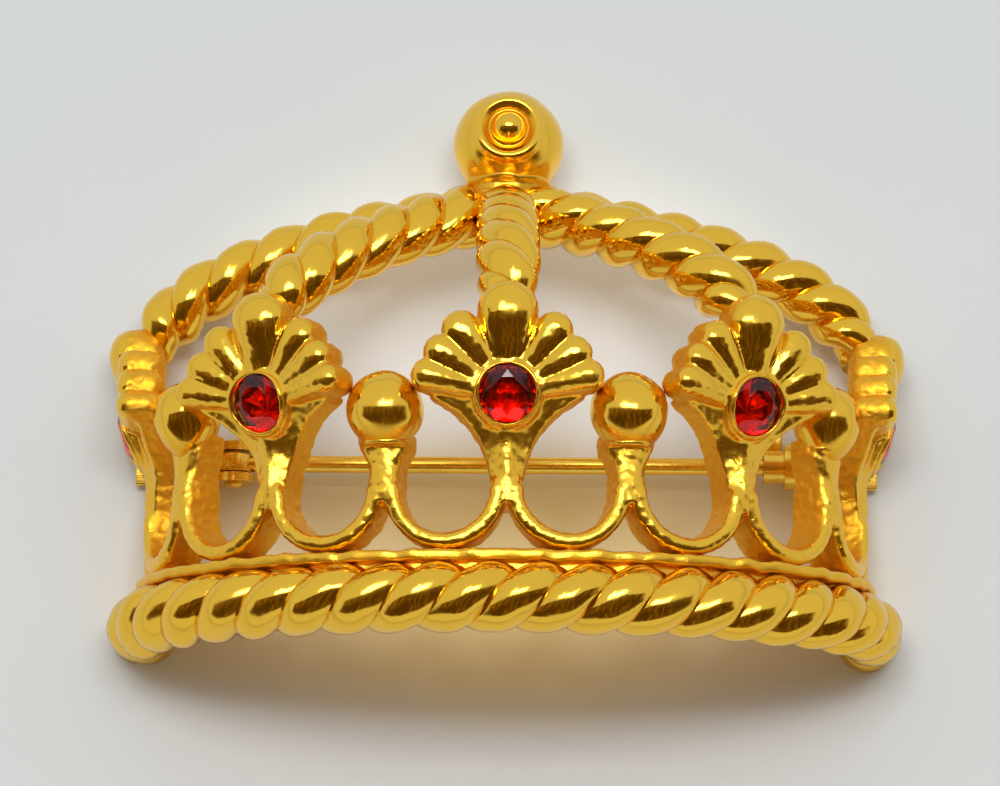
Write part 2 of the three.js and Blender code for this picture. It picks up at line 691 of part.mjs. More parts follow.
const balls = [-3, -1, 1, 3].map((index) => {
  const inner = Math.abs(index) === 1;
  const { radius, rise } = inner ? INNER_BALL : OUTER_BALL;
  return {
    name: `${inner ? 'inner' : 'outer'}_${index < 0 ? 'left' : 'right'}`,
    along: postAlong(index),
    radius,
    height: forkHeight + rise,
  };
});

for (const { name, along, radius, height } of balls) {
  place(`ball_post_${name}`, ballPost(along, radius, height), gold());
  place(`ball_${name}`, ball(along, radius, height), gold());
}

for (const index of [-4, -2, 0, 2, 4]) {
  const along = postAlong(index);
  const clearances = balls.map((one) => ball(one.along, one.radius + GAP, one.height));
  if (Math.abs(index) === LAST_POST) clearances.push(plateNotch(Math.sign(index)));
  const body = cut(stand(fleuron(), along, -WALL_INSET), clearances);
  place(`fleuron_${sideName(index)}`, groundFlat(body), gold());
  place(`stone_${sideName(index)}`, stand(stone(), along, -WALL_INSET), ruby());
}

const outerPaths = [-4, 4].map((index) => archCurve(postAlong(index), OUTER_SHOULDER));
const frontPaths = [-2, 2].map((index) => archCurve(postAlong(index), FRONT_SHOULDER));
const centrePath = archCurve(0, FRONT_SHOULDER);

place('arch_centre', arch(centrePath, []), gold());
place('arch_end_left', arch(outerPaths[0], []), gold());
place('arch_end_right', arch(outerPaths[1], []), gold());
place('arch_front_left', arch(frontPaths[0], [centrePath, outerPaths[0]]), gold());
place('arch_front_right', arch(frontPaths[1], [centrePath, outerPaths[1]]), gold());

place('crossing_boss', crossingBoss(), gold());
place('orb_collar', orbCollar(), gold());
place('orb', orb(), gold());

place('pin_joint', pinJoint(), pinGold());
place('hinge_rivet', hingeRivet(), pinGold());
place('pin_stem', pinStem(), pinGold());
place('catch_hook', catchHook(), pinGold());
place('catch_sleeve', catchSleeve(), pinGold());

// The origin is under the middle of the whole brooch, on the surface that it lies on.
const bounds = new THREE.Box3().setFromObject(crown);
const middle = bounds.getCenter(new THREE.Vector3());
crown.position.set(-middle.x, -middle.y, -bounds.min.z);

export default crown;
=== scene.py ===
"""A gold-plated half-crown brooch with red stones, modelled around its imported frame."""

import logging
import math
from dataclasses import dataclass, field
from enum import Enum
from typing import Any, Callable, Iterable, Sequence

import bmesh
import bpy
import numpy as np
from mathutils import Matrix, Vector, noise


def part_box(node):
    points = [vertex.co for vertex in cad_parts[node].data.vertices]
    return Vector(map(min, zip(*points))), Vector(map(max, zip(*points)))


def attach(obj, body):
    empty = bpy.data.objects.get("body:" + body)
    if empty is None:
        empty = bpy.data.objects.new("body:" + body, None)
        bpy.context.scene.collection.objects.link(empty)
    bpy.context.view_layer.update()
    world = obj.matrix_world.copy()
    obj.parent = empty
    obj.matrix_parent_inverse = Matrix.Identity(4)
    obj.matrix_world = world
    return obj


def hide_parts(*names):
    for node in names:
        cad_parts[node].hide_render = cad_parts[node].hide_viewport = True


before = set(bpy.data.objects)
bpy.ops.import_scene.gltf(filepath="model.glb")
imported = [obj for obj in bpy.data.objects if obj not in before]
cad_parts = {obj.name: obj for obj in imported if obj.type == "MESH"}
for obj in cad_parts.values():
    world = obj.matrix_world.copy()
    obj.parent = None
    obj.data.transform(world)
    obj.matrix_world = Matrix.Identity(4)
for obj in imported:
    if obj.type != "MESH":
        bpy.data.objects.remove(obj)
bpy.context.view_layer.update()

MM = 0.001
TURN = 2 * math.pi
PIN_RISE = 4.6
X_AXIS = Vector((1, 0, 0))
Y_AXIS = Vector((0, 1, 0))
Z_AXIS = Vector((0, 0, 1))

log = logging.getLogger("brooch")


class Body(Enum):
    """The rigid bodies that a piece can ride on."""

    CASTING = "root"
    PIN = "pin"
    LOCK = "catch_lock"


class Slot(Enum):
    """The material slots that a piece can take its finish from."""

    GOLD = "gold_plate"
    STONE = "stone"
    FINDINGS = "findings"


# ---------------------------------------------------------------- shader graphs


class Signal:
    """A shader socket that can be used in Python expressions."""

    def __init__(self, graph: "Graph", socket: bpy.types.NodeSocket) -> None:
        """Wraps one output socket of a graph."""
        self.graph = graph
        self.socket = socket

    def _math(self, operation: str, *values: Any) -> "Signal":
        """Adds one Math node on the given values."""
        return self.graph.node("ShaderNodeMath", {"operation": operation}, dict(enumerate(values)))

    def __add__(self, other: Any) -> "Signal":
        """Returns self + other."""
        return self._math("ADD", self, other)

    def __sub__(self, other: Any) -> "Signal":
        """Returns self - other."""
        return self._math("SUBTRACT", self, other)

    def __rsub__(self, other: Any) -> "Signal":
        """Returns other - self."""
        return self._math("SUBTRACT", other, self)

    def __mul__(self, other: Any) -> "Signal":
        """Returns self * other."""
        return self._math("MULTIPLY", self, other)

    __radd__ = __add__
    __rmul__ = __mul__

    def clamped(self) -> "Signal":
        """Returns self held between 0 and 1."""
        return self._math("MINIMUM", self._math("MAXIMUM", self, 0.0), 1.0)

    def ramp(self, low: float, high: float) -> "Signal":
        """Returns 0 below low, 1 above high and a smooth step between."""
        settings = {"interpolation_type": "SMOOTHSTEP"}
        return self.graph.node("ShaderNodeMapRange", settings, {"Value": self, 1: low, 2: high})


class Graph:
    """The node tree of one material or world."""

    def __init__(self, owner: bpy.types.Material | bpy.types.World) -> None:
        """Clears the owner's node tree and keeps it.

        Args:
            owner: The material or world to fill.
        """
        owner.use_nodes = True
        self.tree = owner.node_tree
        self.tree.nodes.clear()

    def node(self, kind: str, settings: dict[str, Any], inputs: dict[Any, Any], output: Any = 0) -> Signal:
        """Adds one node.

        Args:
            kind: The node's type name.
            settings: Properties of the node, set before its inputs.
            inputs: Values or signals by socket name or number.
            output: Name or number of the socket to return.

        Returns:
            The chosen output as a signal.
        """
        made = self.tree.nodes.new(kind)
        for name, value in settings.items():
            setattr(made, name, value)
        for name, value in inputs.items():
            if isinstance(value, Signal):
                self.tree.links.new(value.socket, made.inputs[name])
            else:
                made.inputs[name].default_value = value
        return Signal(self, made.outputs[output])

    def position(self) -> Signal:
        """Returns the point being shaded, in the object's own coordinates."""
        return self.node("ShaderNodeTexCoord", {}, {}, "Object")

    def attribute(self, name: str) -> Signal:
        """Returns a number painted on the vertices."""
        return self.node("ShaderNodeAttribute", {"attribute_name": name}, {}, "Fac")

    def noise(self, size: float, detail: float = 3.0, distortion: float = 0.0) -> Signal:
        """Returns cloudy noise whose blobs are about size metres across."""
        values = {"Vector": self.position(), "Scale": 1 / size, "Detail": detail, "Distortion": distortion}
        return self.node("ShaderNodeTexNoise", {}, values)

    def mix(self, share: Signal, first: Any, second: Any) -> Signal:
        """Returns a colour between first and second."""
        return self.node("ShaderNodeMix", {"data_type": "RGBA"}, {0: share, 6: first, 7: second}, 2)

    def bump(self, height: Signal, distance: float, strength: float) -> Signal:
        """Returns a normal bent by a height field."""
        return self.node("ShaderNodeBump", {}, {"Height": height, "Distance": distance, "Strength": strength})

    def surface(self, inputs: dict[str, Any]) -> None:
        """Ends the graph in one Principled surface."""
        shader = self.node("ShaderNodeBsdfPrincipled", {}, inputs)
        self.node_output("ShaderNodeOutputMaterial", shader)

    def node_output(self, kind: str, shader: Signal) -> None:
        """Joins a shader to a new output node."""
        made = self.tree.nodes.new(kind)
        self.tree.links.new(shader.socket, made.inputs["Surface"])


Colour = tuple[float, float, float, float]


def opaque(red: float, green: float, blue: float) -> Colour:
    """Returns a colour with full alpha."""
    return (red, green, blue, 1.0)


@dataclass(frozen=True)
class GoldFinish:
    """Polished gold plate over a cast surface that is darker and rougher where no buff has reached.

    The mesh carries two painted numbers: painted_shade, 1 deep in a groove, under an overhang or on a side
    turned away, where a deeper orange is painted in as shade and the surface is rougher; and raw, 1 where the
    skin of the casting was left as it came.
    """

    name: str = "gold_plate"
    bright: Colour = opaque(0.96, 0.59, 0.062)
    # Painted shade colour, for grooves, undersides and turned-away sides.
    hollow_shade: Colour = opaque(0.88, 0.43, 0.022)
    raw: Colour = opaque(0.93, 0.53, 0.045)
    polish: float = 0.11
    raw_roughness: float = 0.30
    cloud_roughness: float = 0.07
    crevice_roughness: float = 0.12
    grain: float = 0.00022
    cloud: float = 0.0022
    relief: float = 0.00004

    def make(self) -> bpy.types.Material:
        """Builds the material.

        Returns:
            The material.
        """
        material = bpy.data.materials.new(self.name)
        graph = Graph(material)
        painted_shade = graph.attribute("painted_shade")
        raw = graph.attribute("raw")
        cloud = graph.noise(self.cloud, 2.0)
        grain = graph.noise(self.grain, 4.0)
        pits = graph.noise(self.grain * 2.6, 2.0, 0.6).ramp(0.56, 0.72)
        tint = graph.mix((raw * 0.8 + cloud * 0.25).clamped(), self.bright, self.raw)
        # Painted shade: the deeper orange is painted in grooves, under overhangs and on turned-away sides.
        colour = graph.mix(painted_shade.clamped(), tint, self.hollow_shade)
        smooth = self.polish + cloud.ramp(0.35, 0.75) * self.cloud_roughness
        roughness = smooth + raw * self.raw_roughness + painted_shade * self.crevice_roughness
        height = grain * (0.12 + raw * 0.9) - pits * raw * 0.9
        graph.surface({
            "Base Color": colour,
            "Metallic": 1.0,
            "Roughness": roughness.clamped(),
            "Normal": graph.bump(height, self.relief, 0.5),
        })
        return material


@dataclass(frozen=True)
class WireFinish:
    """Drawn and plated wire and sheet, with fine scratches along it."""

    name: str = "findings_gold"
    colour: Colour = opaque(0.98, 0.64, 0.09)
    worn: Colour = opaque(0.86, 0.50, 0.06)
    cloud: float = 0.0015
    scratches: tuple[float, float, float] = (400, 9000, 9000)
    relief: float = 0.00001

    def make(self) -> bpy.types.Material:
        """Builds the material.

        Returns:
            The material.
        """
        material = bpy.data.materials.new(self.name)
        graph = Graph(material)
        along = {"Vector": graph.position(), "Scale": self.scratches}
        stretched = graph.node("ShaderNodeMapping", {}, along)
        lines = graph.node("ShaderNodeTexNoise", {}, {"Vector": stretched, "Scale": 1.0, "Detail": 3.0})
        cloud = graph.noise(self.cloud, 3.0)
        graph.surface({
            "Base Color": graph.mix(cloud.ramp(0.4, 0.8), self.colour, self.worn),
            "Metallic": 1.0,
            "Roughness": (0.16 + cloud * 0.14 + lines * 0.08).clamped(),
            "Normal": graph.bump(lines, self.relief, 0.6),
        })
        return material


@dataclass(frozen=True)
class GlassFinish:
    """Clear red glass, for the crown of a stone."""

    name: str = "red_glass"
    colour: Colour = opaque(0.99, 0.09, 0.03)
    deeper: Colour = opaque(0.90, 0.03, 0.015)
    bending: float = 1.52
    streak: float = 0.0006

    def make(self) -> bpy.types.Material:
        """Builds the material.

        Returns:
            The material.
        """
        material = bpy.data.materials.new(self.name)
        graph = Graph(material)
        streak = graph.noise(self.streak, 2.0)
        graph.surface({
            "Base Color": graph.mix(streak.ramp(0.35, 0.7), self.colour, self.deeper),
            "Roughness": streak * 0.04,
            "IOR": self.bending,
            "Transmission Weight": 1.0,
        })
        return material


@dataclass(frozen=True)
class FoilFinish:
    """The mirror foil behind a stone, seen red through the glass."""

    name: str = "stone_foil"
    colour: Colour = opaque(1.0, 0.16, 0.05)
    darker: Colour = opaque(0.55, 0.02, 0.01)
    tarnish: float = 0.0005

    def make(self) -> bpy.types.Material:
        """Builds the material.

        Returns:
            The material.
        """
        material = bpy.data.materials.new(self.name)
        graph = Graph(material)
        tarnish = graph.noise(self.tarnish, 3.0)
        graph.surface({
            "Base Color": graph.mix(tarnish.ramp(0.4, 0.75), self.colour, self.darker),
            "Metallic": 1.0,
            "Roughness": 0.08 + tarnish * 0.12,
        })
        return material


@dataclass(frozen=True)
class PaperFinish:
    """The pale sheet that the brooch lies on, with painted light on it.

    A warm tint and glow in front of the rim stand in for the light that gold throws on it, and a pale glow
    lightens the shade inside the crown.
    """

    name: str = "pale_sheet"
    far: Colour = opaque(0.755, 0.815, 0.85)
    near: Colour = opaque(0.845, 0.87, 0.885)
    # Painted light: the colours and pools below stand in for bounce light and fill on the sheet.
    painted_bounce_tint: Colour = opaque(0.86, 0.74, 0.44)
    painted_bounce_glow: Colour = opaque(0.11, 0.075, 0.02)
    painted_fill_glow: Colour = opaque(0.20, 0.205, 0.19)
    fibre: float = 0.004
    fill_glow_centre: tuple[float, float, float] = (0.0, 0.005, 0.0)
    fill_glow_reach: tuple[float, float, float] = (0.019, 0.011, 1.0)
    bounce_centre: tuple[float, float, float] = (0.0, -0.0115, 0.0)
    bounce_reach: tuple[float, float, float] = (0.024, 0.0095, 1.0)

    @staticmethod
    def pool(graph: Graph, centre: Sequence[float], reach: Sequence[float]) -> Signal:
        """Returns a soft oval, 1 at its centre and 0 beyond its reach.

        Args:
            graph: The graph to add to.
            centre: The oval's middle, in metres.
            reach: Its half widths, in metres.

        Returns:
            The oval as a signal.
        """
        values = {0: graph.position(), 1: centre}
        offset = graph.node("ShaderNodeVectorMath", {"operation": "SUBTRACT"}, values)
        shares = graph.node("ShaderNodeVectorMath", {"operation": "DIVIDE"}, {0: offset, 1: reach})
        away = graph.node("ShaderNodeVectorMath", {"operation": "LENGTH"}, {0: shares}, "Value")
        return 1.0 - away.ramp(0.35, 1.1)

    def make(self) -> bpy.types.Material:
        """Builds the material.

        Returns:
            The material.
        """
        material = bpy.data.materials.new(self.name)
        graph = Graph(material)
        fibre = graph.noise(self.fibre, 3.0)
        parts = graph.node("ShaderNodeSeparateXYZ", {}, {"Vector": graph.position()}, "Y")
        nearness = (fibre * 0.15 - parts * 14.0 + 0.35).clamped()
        # Painted light: a pale glowing pool inside the crown, and a warm tinted, glowing pool in front of the
        # rim.
        inside = self.pool(graph, self.fill_glow_centre, self.fill_glow_reach)
        before = self.pool(graph, self.bounce_centre, self.bounce_reach)
        plain = graph.mix(nearness, self.far, self.near)
        fill_glow = graph.mix(inside, opaque(0.0, 0.0, 0.0), self.painted_fill_glow)
        graph.surface({
            # Painted light: the warm pool tints the base colour and both pools glow.
            "Base Color": graph.mix(before, plain, self.painted_bounce_tint),
            "Emission Color": graph.mix(before, fill_glow, self.painted_bounce_glow),
            "Emission Strength": 1.0,
            "Roughness": 0.75,
            "Specular IOR Level": 0.25,
        })
        return material


# ---------------------------------------------------------------- surfaces


def smooth_step(value: np.ndarray | float, low: float, high: float) -> np.ndarray:
    """Returns 0 below low, 1 above high and a smooth step between."""
    share = np.clip((np.asarray(value, float) - low) / (high - low), 0.0, 1.0)
    return share * share * (3 - 2 * share)


class Surface:
    """A mesh in millimetres whose points are moved as arrays until it is in place."""

    def __init__(self, drawing: bmesh.types.BMesh, name: str) -> None:
        """Takes over a finished drawing and frees it.

        Args:
            drawing: The drawing to take over.
            name: A name for the mesh.
        """
        self.mesh = bpy.data.meshes.new(name)
        drawing.to_mesh(self.mesh)
        drawing.free()

    @property
    def points(self) -> np.ndarray:
        """The vertices as an array of rows.

        Returns:
            One row for each vertex.
        """
        flat = np.empty(len(self.mesh.vertices) * 3, np.float32)
        self.mesh.vertices.foreach_get("co", flat)
        return flat.reshape(-1, 3).astype(float)

    @points.setter
    def points(self, rows: np.ndarray) -> None:
        """Moves every vertex."""
        self.mesh.vertices.foreach_set("co", np.asarray(rows, np.float32).ravel())
        self.mesh.update()

    @property
    def normals(self) -> np.ndarray:
        """The vertex normals as an array of rows.

        Returns:
            One row for each vertex.
        """
        flat = np.empty(len(self.mesh.vertices) * 3, np.float32)
        self.mesh.vertex_normals.foreach_get("vector", flat)
        return flat.reshape(-1, 3).astype(float)

    def paint(self, name: str, values: np.ndarray) -> None:
        """Stores one number on each vertex under a name that a finish reads."""
        stored = self.mesh.attributes.get(name) or self.mesh.attributes.new(name, "FLOAT", "POINT")
        stored.data.foreach_set("value", np.asarray(values, np.float32))

    def fill(self, name: str, value: float) -> None:
        """Stores the same number on every vertex."""
        self.paint(name, np.full(len(self.mesh.vertices), value))

    def painted(self, name: str) -> np.ndarray:
        """Returns the numbers stored under a name, or zeros.

        Args:
            name: The name that they were painted under.

        Returns:
            One number for each vertex.
        """
        values = np.zeros(len(self.mesh.vertices), np.float32)
        stored = self.mesh.attributes.get(name)
        if stored is not None:
            stored.data.foreach_get("value", values)
        return values.astype(float)

    def spread(self, values: np.ndarray, rounds: int) -> np.ndarray:
        """Averages numbers or rows over neighbouring vertices, a few times over.

        Args:
            values: One number or one row for each vertex.
            rounds: How many times they are averaged.

        Returns:
            The averaged values, in the same form.
        """
        edges = np.empty(len(self.mesh.edges) * 2, np.int32)
        self.mesh.edges.foreach_get("vertices", edges)
        first, second = edges.reshape(-1, 2).T
        count = len(self.mesh.vertices)
        degree = np.bincount(first, minlength=count) + np.bincount(second, minlength=count)
        degree = np.maximum(degree, 1)
        columns = np.atleast_2d(values.T)
        for _ in range(rounds):
            columns = np.array([
                np.bincount(first, column[second], count) + np.bincount(second, column[first], count)
                for column in columns
            ]) / degree
        return columns[0] if values.ndim == 1 else columns.T

    def hollows(self, reach: int, full: float) -> np.ndarray:
        """Returns 1 in grooves and 0 on flats and crests.

        Args:
            reach: How many rings of neighbours a groove is measured over.
            full: Depth, in millimetres, below the neighbours that counts as 1.

        Returns:
            One number for each vertex.
        """
        points = self.points
        depth = np.einsum("ij,ij->i", self.spread(points, reach) - points, self.normals)
        return np.clip(self.spread(depth, 2) / full, 0.0, 1.0)

    def roughen(self, amount: np.ndarray | float, size: float, seed: float) -> None:
        """Moves the vertices along their normals by smooth noise.

        Args:
            amount: Height of the noise in millimetres, one for all or one for each vertex.
            size: Width of its bumps in millimetres.
            seed: Shifts the pattern, so that no two pieces are alike.
        """
        points = self.points
        offset = Vector((seed, seed * 0.7, -seed))
        heights = np.array([noise.noise(Vector(point) / size + offset) for point in points])
        self.points = points + self.normals * (heights * amount)[:, None]

    def turned(self, place: Matrix) -> None:
        """Moves the whole surface by a matrix."""
        self.mesh.transform(place)
        self.mesh.update()

    def copied(self, height: float | None = None) -> "Surface":
        """Copies the surface, with its paint.

        Args:
            height: Where the copy is cut flat, across Z, with nothing left below. None leaves it whole.

        Returns:
            The copy.
        """
        drawing = bmesh.new()
        drawing.from_mesh(self.mesh)
        if height is not None:
            cut_flat(drawing, height)
        return Surface(drawing, self.mesh.name)


def remeshed(drawing: bmesh.types.BMesh, voxel: float, melt: int) -> bmesh.types.BMesh:
    """Fuses everything in a drawing into one skin.

    Args:
        drawing: Overlapping closed forms, in millimetres. It is freed.
        voxel: Size of the new faces.
        melt: How many times the skin is smoothed, which rounds edges and fills corners.

    Returns:
        The new drawing.
    """
    mesh = bpy.data.meshes.new("drawing")
    drawing.to_mesh(mesh)
    drawing.free()
    holder = bpy.data.objects.new("drawing", mesh)
    bpy.context.scene.collection.objects.link(holder)
    skin = holder.modifiers.new("skin", "REMESH")
    skin.mode = "VOXEL"
    skin.voxel_size = voxel
    skin.adaptivity = 0.0
    evaluated = holder.evaluated_get(bpy.context.evaluated_depsgraph_get())
    fused = bmesh.new()
    fused.from_mesh(evaluated.to_mesh())
    bpy.data.objects.remove(holder)
    bpy.data.meshes.remove(mesh)
    for _ in range(melt):
        bmesh.ops.smooth_vert(
            fused, verts=fused.verts, factor=0.5, use_axis_x=True, use_axis_y=True, use_axis_z=True
        )
    return fused


def lengthwise(edges: Iterable[bmesh.types.BMEdge], length: float) -> list[bmesh.types.BMEdge]:
    """Returns the edges that run further than a length along X."""
    return [edge for edge in edges if abs(edge.verts[0].co.x - edge.verts[1].co.x) > length]


def cut_flat(drawing: bmesh.types.BMesh, height: float) -> None:
    """Removes everything below a height along Z and closes the cut.

    Args:
        drawing: The drawing to cut.
        height: Where to cut it.
    """
    everything = [*drawing.verts, *drawing.edges, *drawing.faces]
    made = bmesh.ops.bisect_plane(
        drawing, geom=everything, dist=1e-5, plane_co=(0, 0, height), plane_no=Z_AXIS, clear_inner=True
    )
    rim = [item for item in made["geom_cut"] if isinstance(item, bmesh.types.BMEdge)]
    bmesh.ops.holes_fill(drawing, edges=rim, sides=0)


def block(
    drawing: bmesh.types.BMesh, cuts: int, shape: Callable[[float, float, float], tuple[float, float, float]]
) -> None:
    """Adds a cube whose points run from -1 to 1 and are then moved to a shape.

    Args:
        drawing: The drawing to add to.
        cuts: Extra rows of vertices on each side.
        shape: Gives the place of a point of the cube.
    """
    before = set(drawing.verts)
    corners = bmesh.ops.create_cube(drawing, size=2.0)["verts"]
    edges = list({edge for corner in corners for edge in corner.link_edges})
    bmesh.ops.subdivide_edges(drawing, edges=edges, cuts=cuts, use_grid_fill=True)
    for vertex in [vertex for vertex in drawing.verts if vertex not in before]:
        vertex.co = shape(*vertex.co)


def ball(drawing: bmesh.types.BMesh, radius: float, centre: Sequence[float], segments: int = 32) -> None:
    """Adds a ball."""
    place = Matrix.Translation(centre)
    bmesh.ops.create_uvsphere(
        drawing, u_segments=segments, v_segments=segments * 3 // 4, radius=radius, matrix=place
    )


def disc(
    drawing: bmesh.types.BMesh, radius: float, low: float, high: float, place: Matrix, segments: int = 40
) -> list[bmesh.types.BMVert]:
    """Adds a closed cylinder between two heights along the Z of its place.

    Args:
        drawing: The drawing to add to.
        radius: Its radius.
        low: Height of its lower end.
        high: Height of its upper end.
        place: Where its origin and its Z lie.
        segments: How many sides it has.

    Returns:
        Its vertices.
    """
    shift = Matrix.Translation((0, 0, (low + high) / 2))
    made = bmesh.ops.create_cone(
        drawing, cap_ends=True, segments=segments, radius1=radius, radius2=radius, depth=high - low,
        matrix=place @ shift,
    )
    return made["verts"]


def ring(drawing: bmesh.types.BMesh, radius: float, wire: float, place: Matrix, steps: int = 48) -> None:
    """Adds a closed ring of round wire about the Z of its place.

    Args:
        drawing: The drawing to add to.
        radius: Radius of the wire's middle line.
        wire: Radius of the wire.
        place: Where its middle and its Z lie.
        steps: How many sections it has.
    """
    start = Matrix.Translation((radius, 0, 0)) @ Matrix.Rotation(math.pi / 2, 4, "X")
    circle = bmesh.ops.create_circle(drawing, cap_ends=False, radius=wire, segments=16, matrix=start)["verts"]
    edges = list({edge for vertex in circle for edge in vertex.link_edges})
    before = set(drawing.verts) - set(circle)
    bmesh.ops.spin(
        drawing, geom=[*circle, *edges], cent=(0, 0, 0), axis=Z_AXIS, angle=TURN, steps=steps, use_merge=True
    )
    made = [vertex for vertex in drawing.verts if vertex not in before]
    bmesh.ops.transform(drawing, matrix=place, verts=made)
    faces = list({face for vertex in made for face in vertex.link_faces})
    bmesh.ops.recalc_face_normals(drawing, faces=faces)


# ---------------------------------------------------------------- the workshop


@dataclass
class Workshop:
    """Puts finished surfaces into the scene, on their bodies, in place of their frame nodes."""

    shift: Vector
    finishes: dict[str, bpy.types.Material]
    made: list[str] = field(default_factory=list)

    def deliver(
        self, surface: Surface, name: str, finishes: Sequence[str], slot: Slot, body: Body,
        nodes: Sequence[str],
    ) -> None:
        """Places one piece.

        Args:
            surface: Its surface, in millimetres from the middle of the rim.
            name: Its name in the scene.
            finishes: Names of its materials, in the order that its faces count them.
            slot: The record's slot for its finish; not used.
            body: The body that it rides on.
            nodes: The frame nodes that it stands for.
        """
        surface.points = surface.points * MM + np.array(self.shift)
        surface.mesh.name = name
        piece = bpy.data.objects.new(name, surface.mesh)
        bpy.context.scene.collection.objects.link(piece)
        for finish in finishes:
            surface.mesh.materials.append(self.finishes[finish])
        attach(piece, body.value)
        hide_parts(*nodes)
        self.made.append(name)
        log.info("%s: %d vertices on %s", name, len(surface.mesh.vertices), body.value)

    def gold(self, surface: Surface, name: str) -> None:
        """Places one plated piece of the casting, smooth all over, in place of the node of its name."""
        surface.mesh.shade_smooth()
        self.deliver(surface, name, ["gold"], Slot.GOLD, Body.CASTING, [name])


# ---------------------------------------------------------------- plan of the crown


@dataclass
class Wall:
    """The curved wall of the crown, half an ellipse in plan whose ends run straight back."""

    half_width: float = 21.3
    bulge: float = 14.5
    end_rise: float = 1.9
    inset: float = 1.2
    back_plane: float = 0.35
    end_setback: float = 0.9
    end_loop_shorter: float = 0.73
    last_post: int = 4
    samples: int = 1500

    def __post_init__(self) -> None:
        """Measures the ellipse."""
        self.angles = np.linspace(math.pi, 0, self.samples)
        across = self.half_width * np.cos(self.angles)
        rise = self.end_rise + self.bulge * np.sin(self.angles)
        steps = np.hypot(np.diff(across), np.diff(rise))
        travelled = np.concatenate([[0.0], np.cumsum(steps)])
        self.half_length = travelled[-1] / 2
        self.along = travelled - self.half_length

    def frames(self, along: np.ndarray) -> tuple[np.ndarray, np.ndarray, np.ndarray]:
        """Finds places on the wall.

        Args:
            along: Distances along the rim from its front.

        Returns:
            Points, ways along and ways out, each as rows.
        """
        within = np.clip(along, -self.half_length, self.half_length)
        angle = np.interp(within, self.along, self.angles)
        forward = np.stack([self.half_width * np.sin(angle), 0 * angle, -self.bulge * np.cos(angle)], 1)
        forward /= np.linalg.norm(forward, axis=1)[:, None]
        points = np.stack(
            [self.half_width * np.cos(angle), 0 * angle, self.end_rise + self.bulge * np.sin(angle)], 1
        )
        points += forward * (along - within)[:, None]
        outward = np.stack([-forward[:, 2], 0 * angle, forward[:, 0]], 1)
        return points, forward, outward

    def wrapped(self, points: np.ndarray) -> np.ndarray:
        """Bends points drawn flat, x along the rim, y up and z outwards, onto the wall.

        Args:
            points: The flat points, as rows.

        Returns:
            The bent points.
        """
        origin, _, outward = self.frames(points[:, 0])
        moved = origin + outward * points[:, 2:3]
        moved[:, 1] = points[:, 1]
        return moved

    def stand(self, along: float, shift: float) -> Matrix:
        """Returns the matrix that stands a rigid piece on the wall.

        Args:
            along: Distance along the rim from its front.
            shift: How far outwards of the wall it stands.

        Returns:
            The matrix.
        """
        origin, forward, outward = (Vector(rows[0]) for rows in self.frames(np.array([along])))
        place = Matrix((forward, Y_AXIS, outward)).transposed().to_4x4()
        place.translation = origin + outward * shift
        return place

    @property
    def pitch(self) -> float:
        """The distance between neighbouring posts."""
        return (self.half_length - self.end_setback + self.end_loop_shorter) / self.last_post

    def post(self, index: int) -> float:
        """Returns the distance of a post along the rim, counted both ways from the centre one.

        Args:
            index: The number of the post, below 0 on the left.

        Returns:
            The distance, below 0 on the left.
        """
        count = abs(index)
        if count < self.last_post:
            return index * self.pitch
        last = self.half_length - self.end_setback
        return math.copysign(last + (count - self.last_post) * self.pitch, index)


# ---------------------------------------------------------------- ropes


@dataclass
class Rope:
    """A left-handed rope of two strands of thick round wire, sunk into each other."""

    radius: float = 2.0
    lay: float = 5.6
    strands: int = 2
    strand_share: float = 0.67
    sides: int = 32
    steps_per_turn: int = 36

    @property
    def groove(self) -> float:
        """Depth at which two strands meet, as a share of the rope's radius.

        Returns:
            The share.
        """
        strand = self.strand_share
        half_gap = (1 - strand) * math.sin(math.pi / self.strands)
        return (1 - strand) * math.cos(math.pi / self.strands) + math.sqrt(strand**2 - half_gap**2)

    def drawing(self, start: float, end: float) -> bmesh.types.BMesh:
        """Lays the rope straight along X.

        Args:
            start: Where it begins.
            end: Where it ends.

        Returns:
            The drawing, with painted shade in its grooves, by their depth, stored as painted_shade.
        """
        drawing = bmesh.new()
        strand = self.radius * self.strand_share
        middle = self.radius - strand
        tilt = math.atan(TURN * middle / self.lay)
        length = end - start
        steps = round(abs(length) / self.lay * self.steps_per_turn)
        for number in range(self.strands):
            turn = number * TURN / self.strands
            place = (
                Matrix.Translation((start, 0, 0))
                @ Matrix.Rotation(turn, 4, "X")
                @ Matrix.Translation((0, middle, 0))
                @ Matrix.Rotation(tilt, 4, "Y")
                @ Matrix.Rotation(math.pi / 2, 4, "Y")
            )
            circle = bmesh.ops.create_circle(
                drawing, cap_ends=False, radius=strand, segments=self.sides, matrix=place
            )["verts"]
            edges = list({edge for vertex in circle for edge in vertex.link_edges})
            bmesh.ops.spin(
                drawing, geom=[*circle, *edges], cent=(0, 0, 0), axis=X_AXIS, dvec=(length / steps, 0, 0),
                angle=-TURN * length / self.lay, steps=steps, use_merge=False,
            )
        bmesh.ops.holes_fill(drawing, edges=[edge for edge in drawing.edges if edge.is_boundary], sides=0)
        bmesh.ops.recalc_face_normals(drawing, faces=drawing.faces)
        # Painted shade: the grooves between the strands are darkened by their depth.
        layer = drawing.verts.layers.float.new("painted_shade")
        for vertex in drawing.verts:
            depth = math.hypot(vertex.co.y, vertex.co.z) / self.radius
            vertex[layer] = 1.0 - float(smooth_step(depth, self.groove, self.groove + 0.13))
        return drawing

    def dress(self, surface: Surface, seed: float) -> None:
        """Gives a laid rope the small unevenness of a worn and polished casting.

        Args:
            surface: The rope.
            seed: Shifts the pattern.
        """
        surface.roughen(0.10, 1.6, seed)
        surface.roughen(0.025, 0.45, seed + 3.0)
        surface.paint("raw", surface.painted("painted_shade") * 0.5)


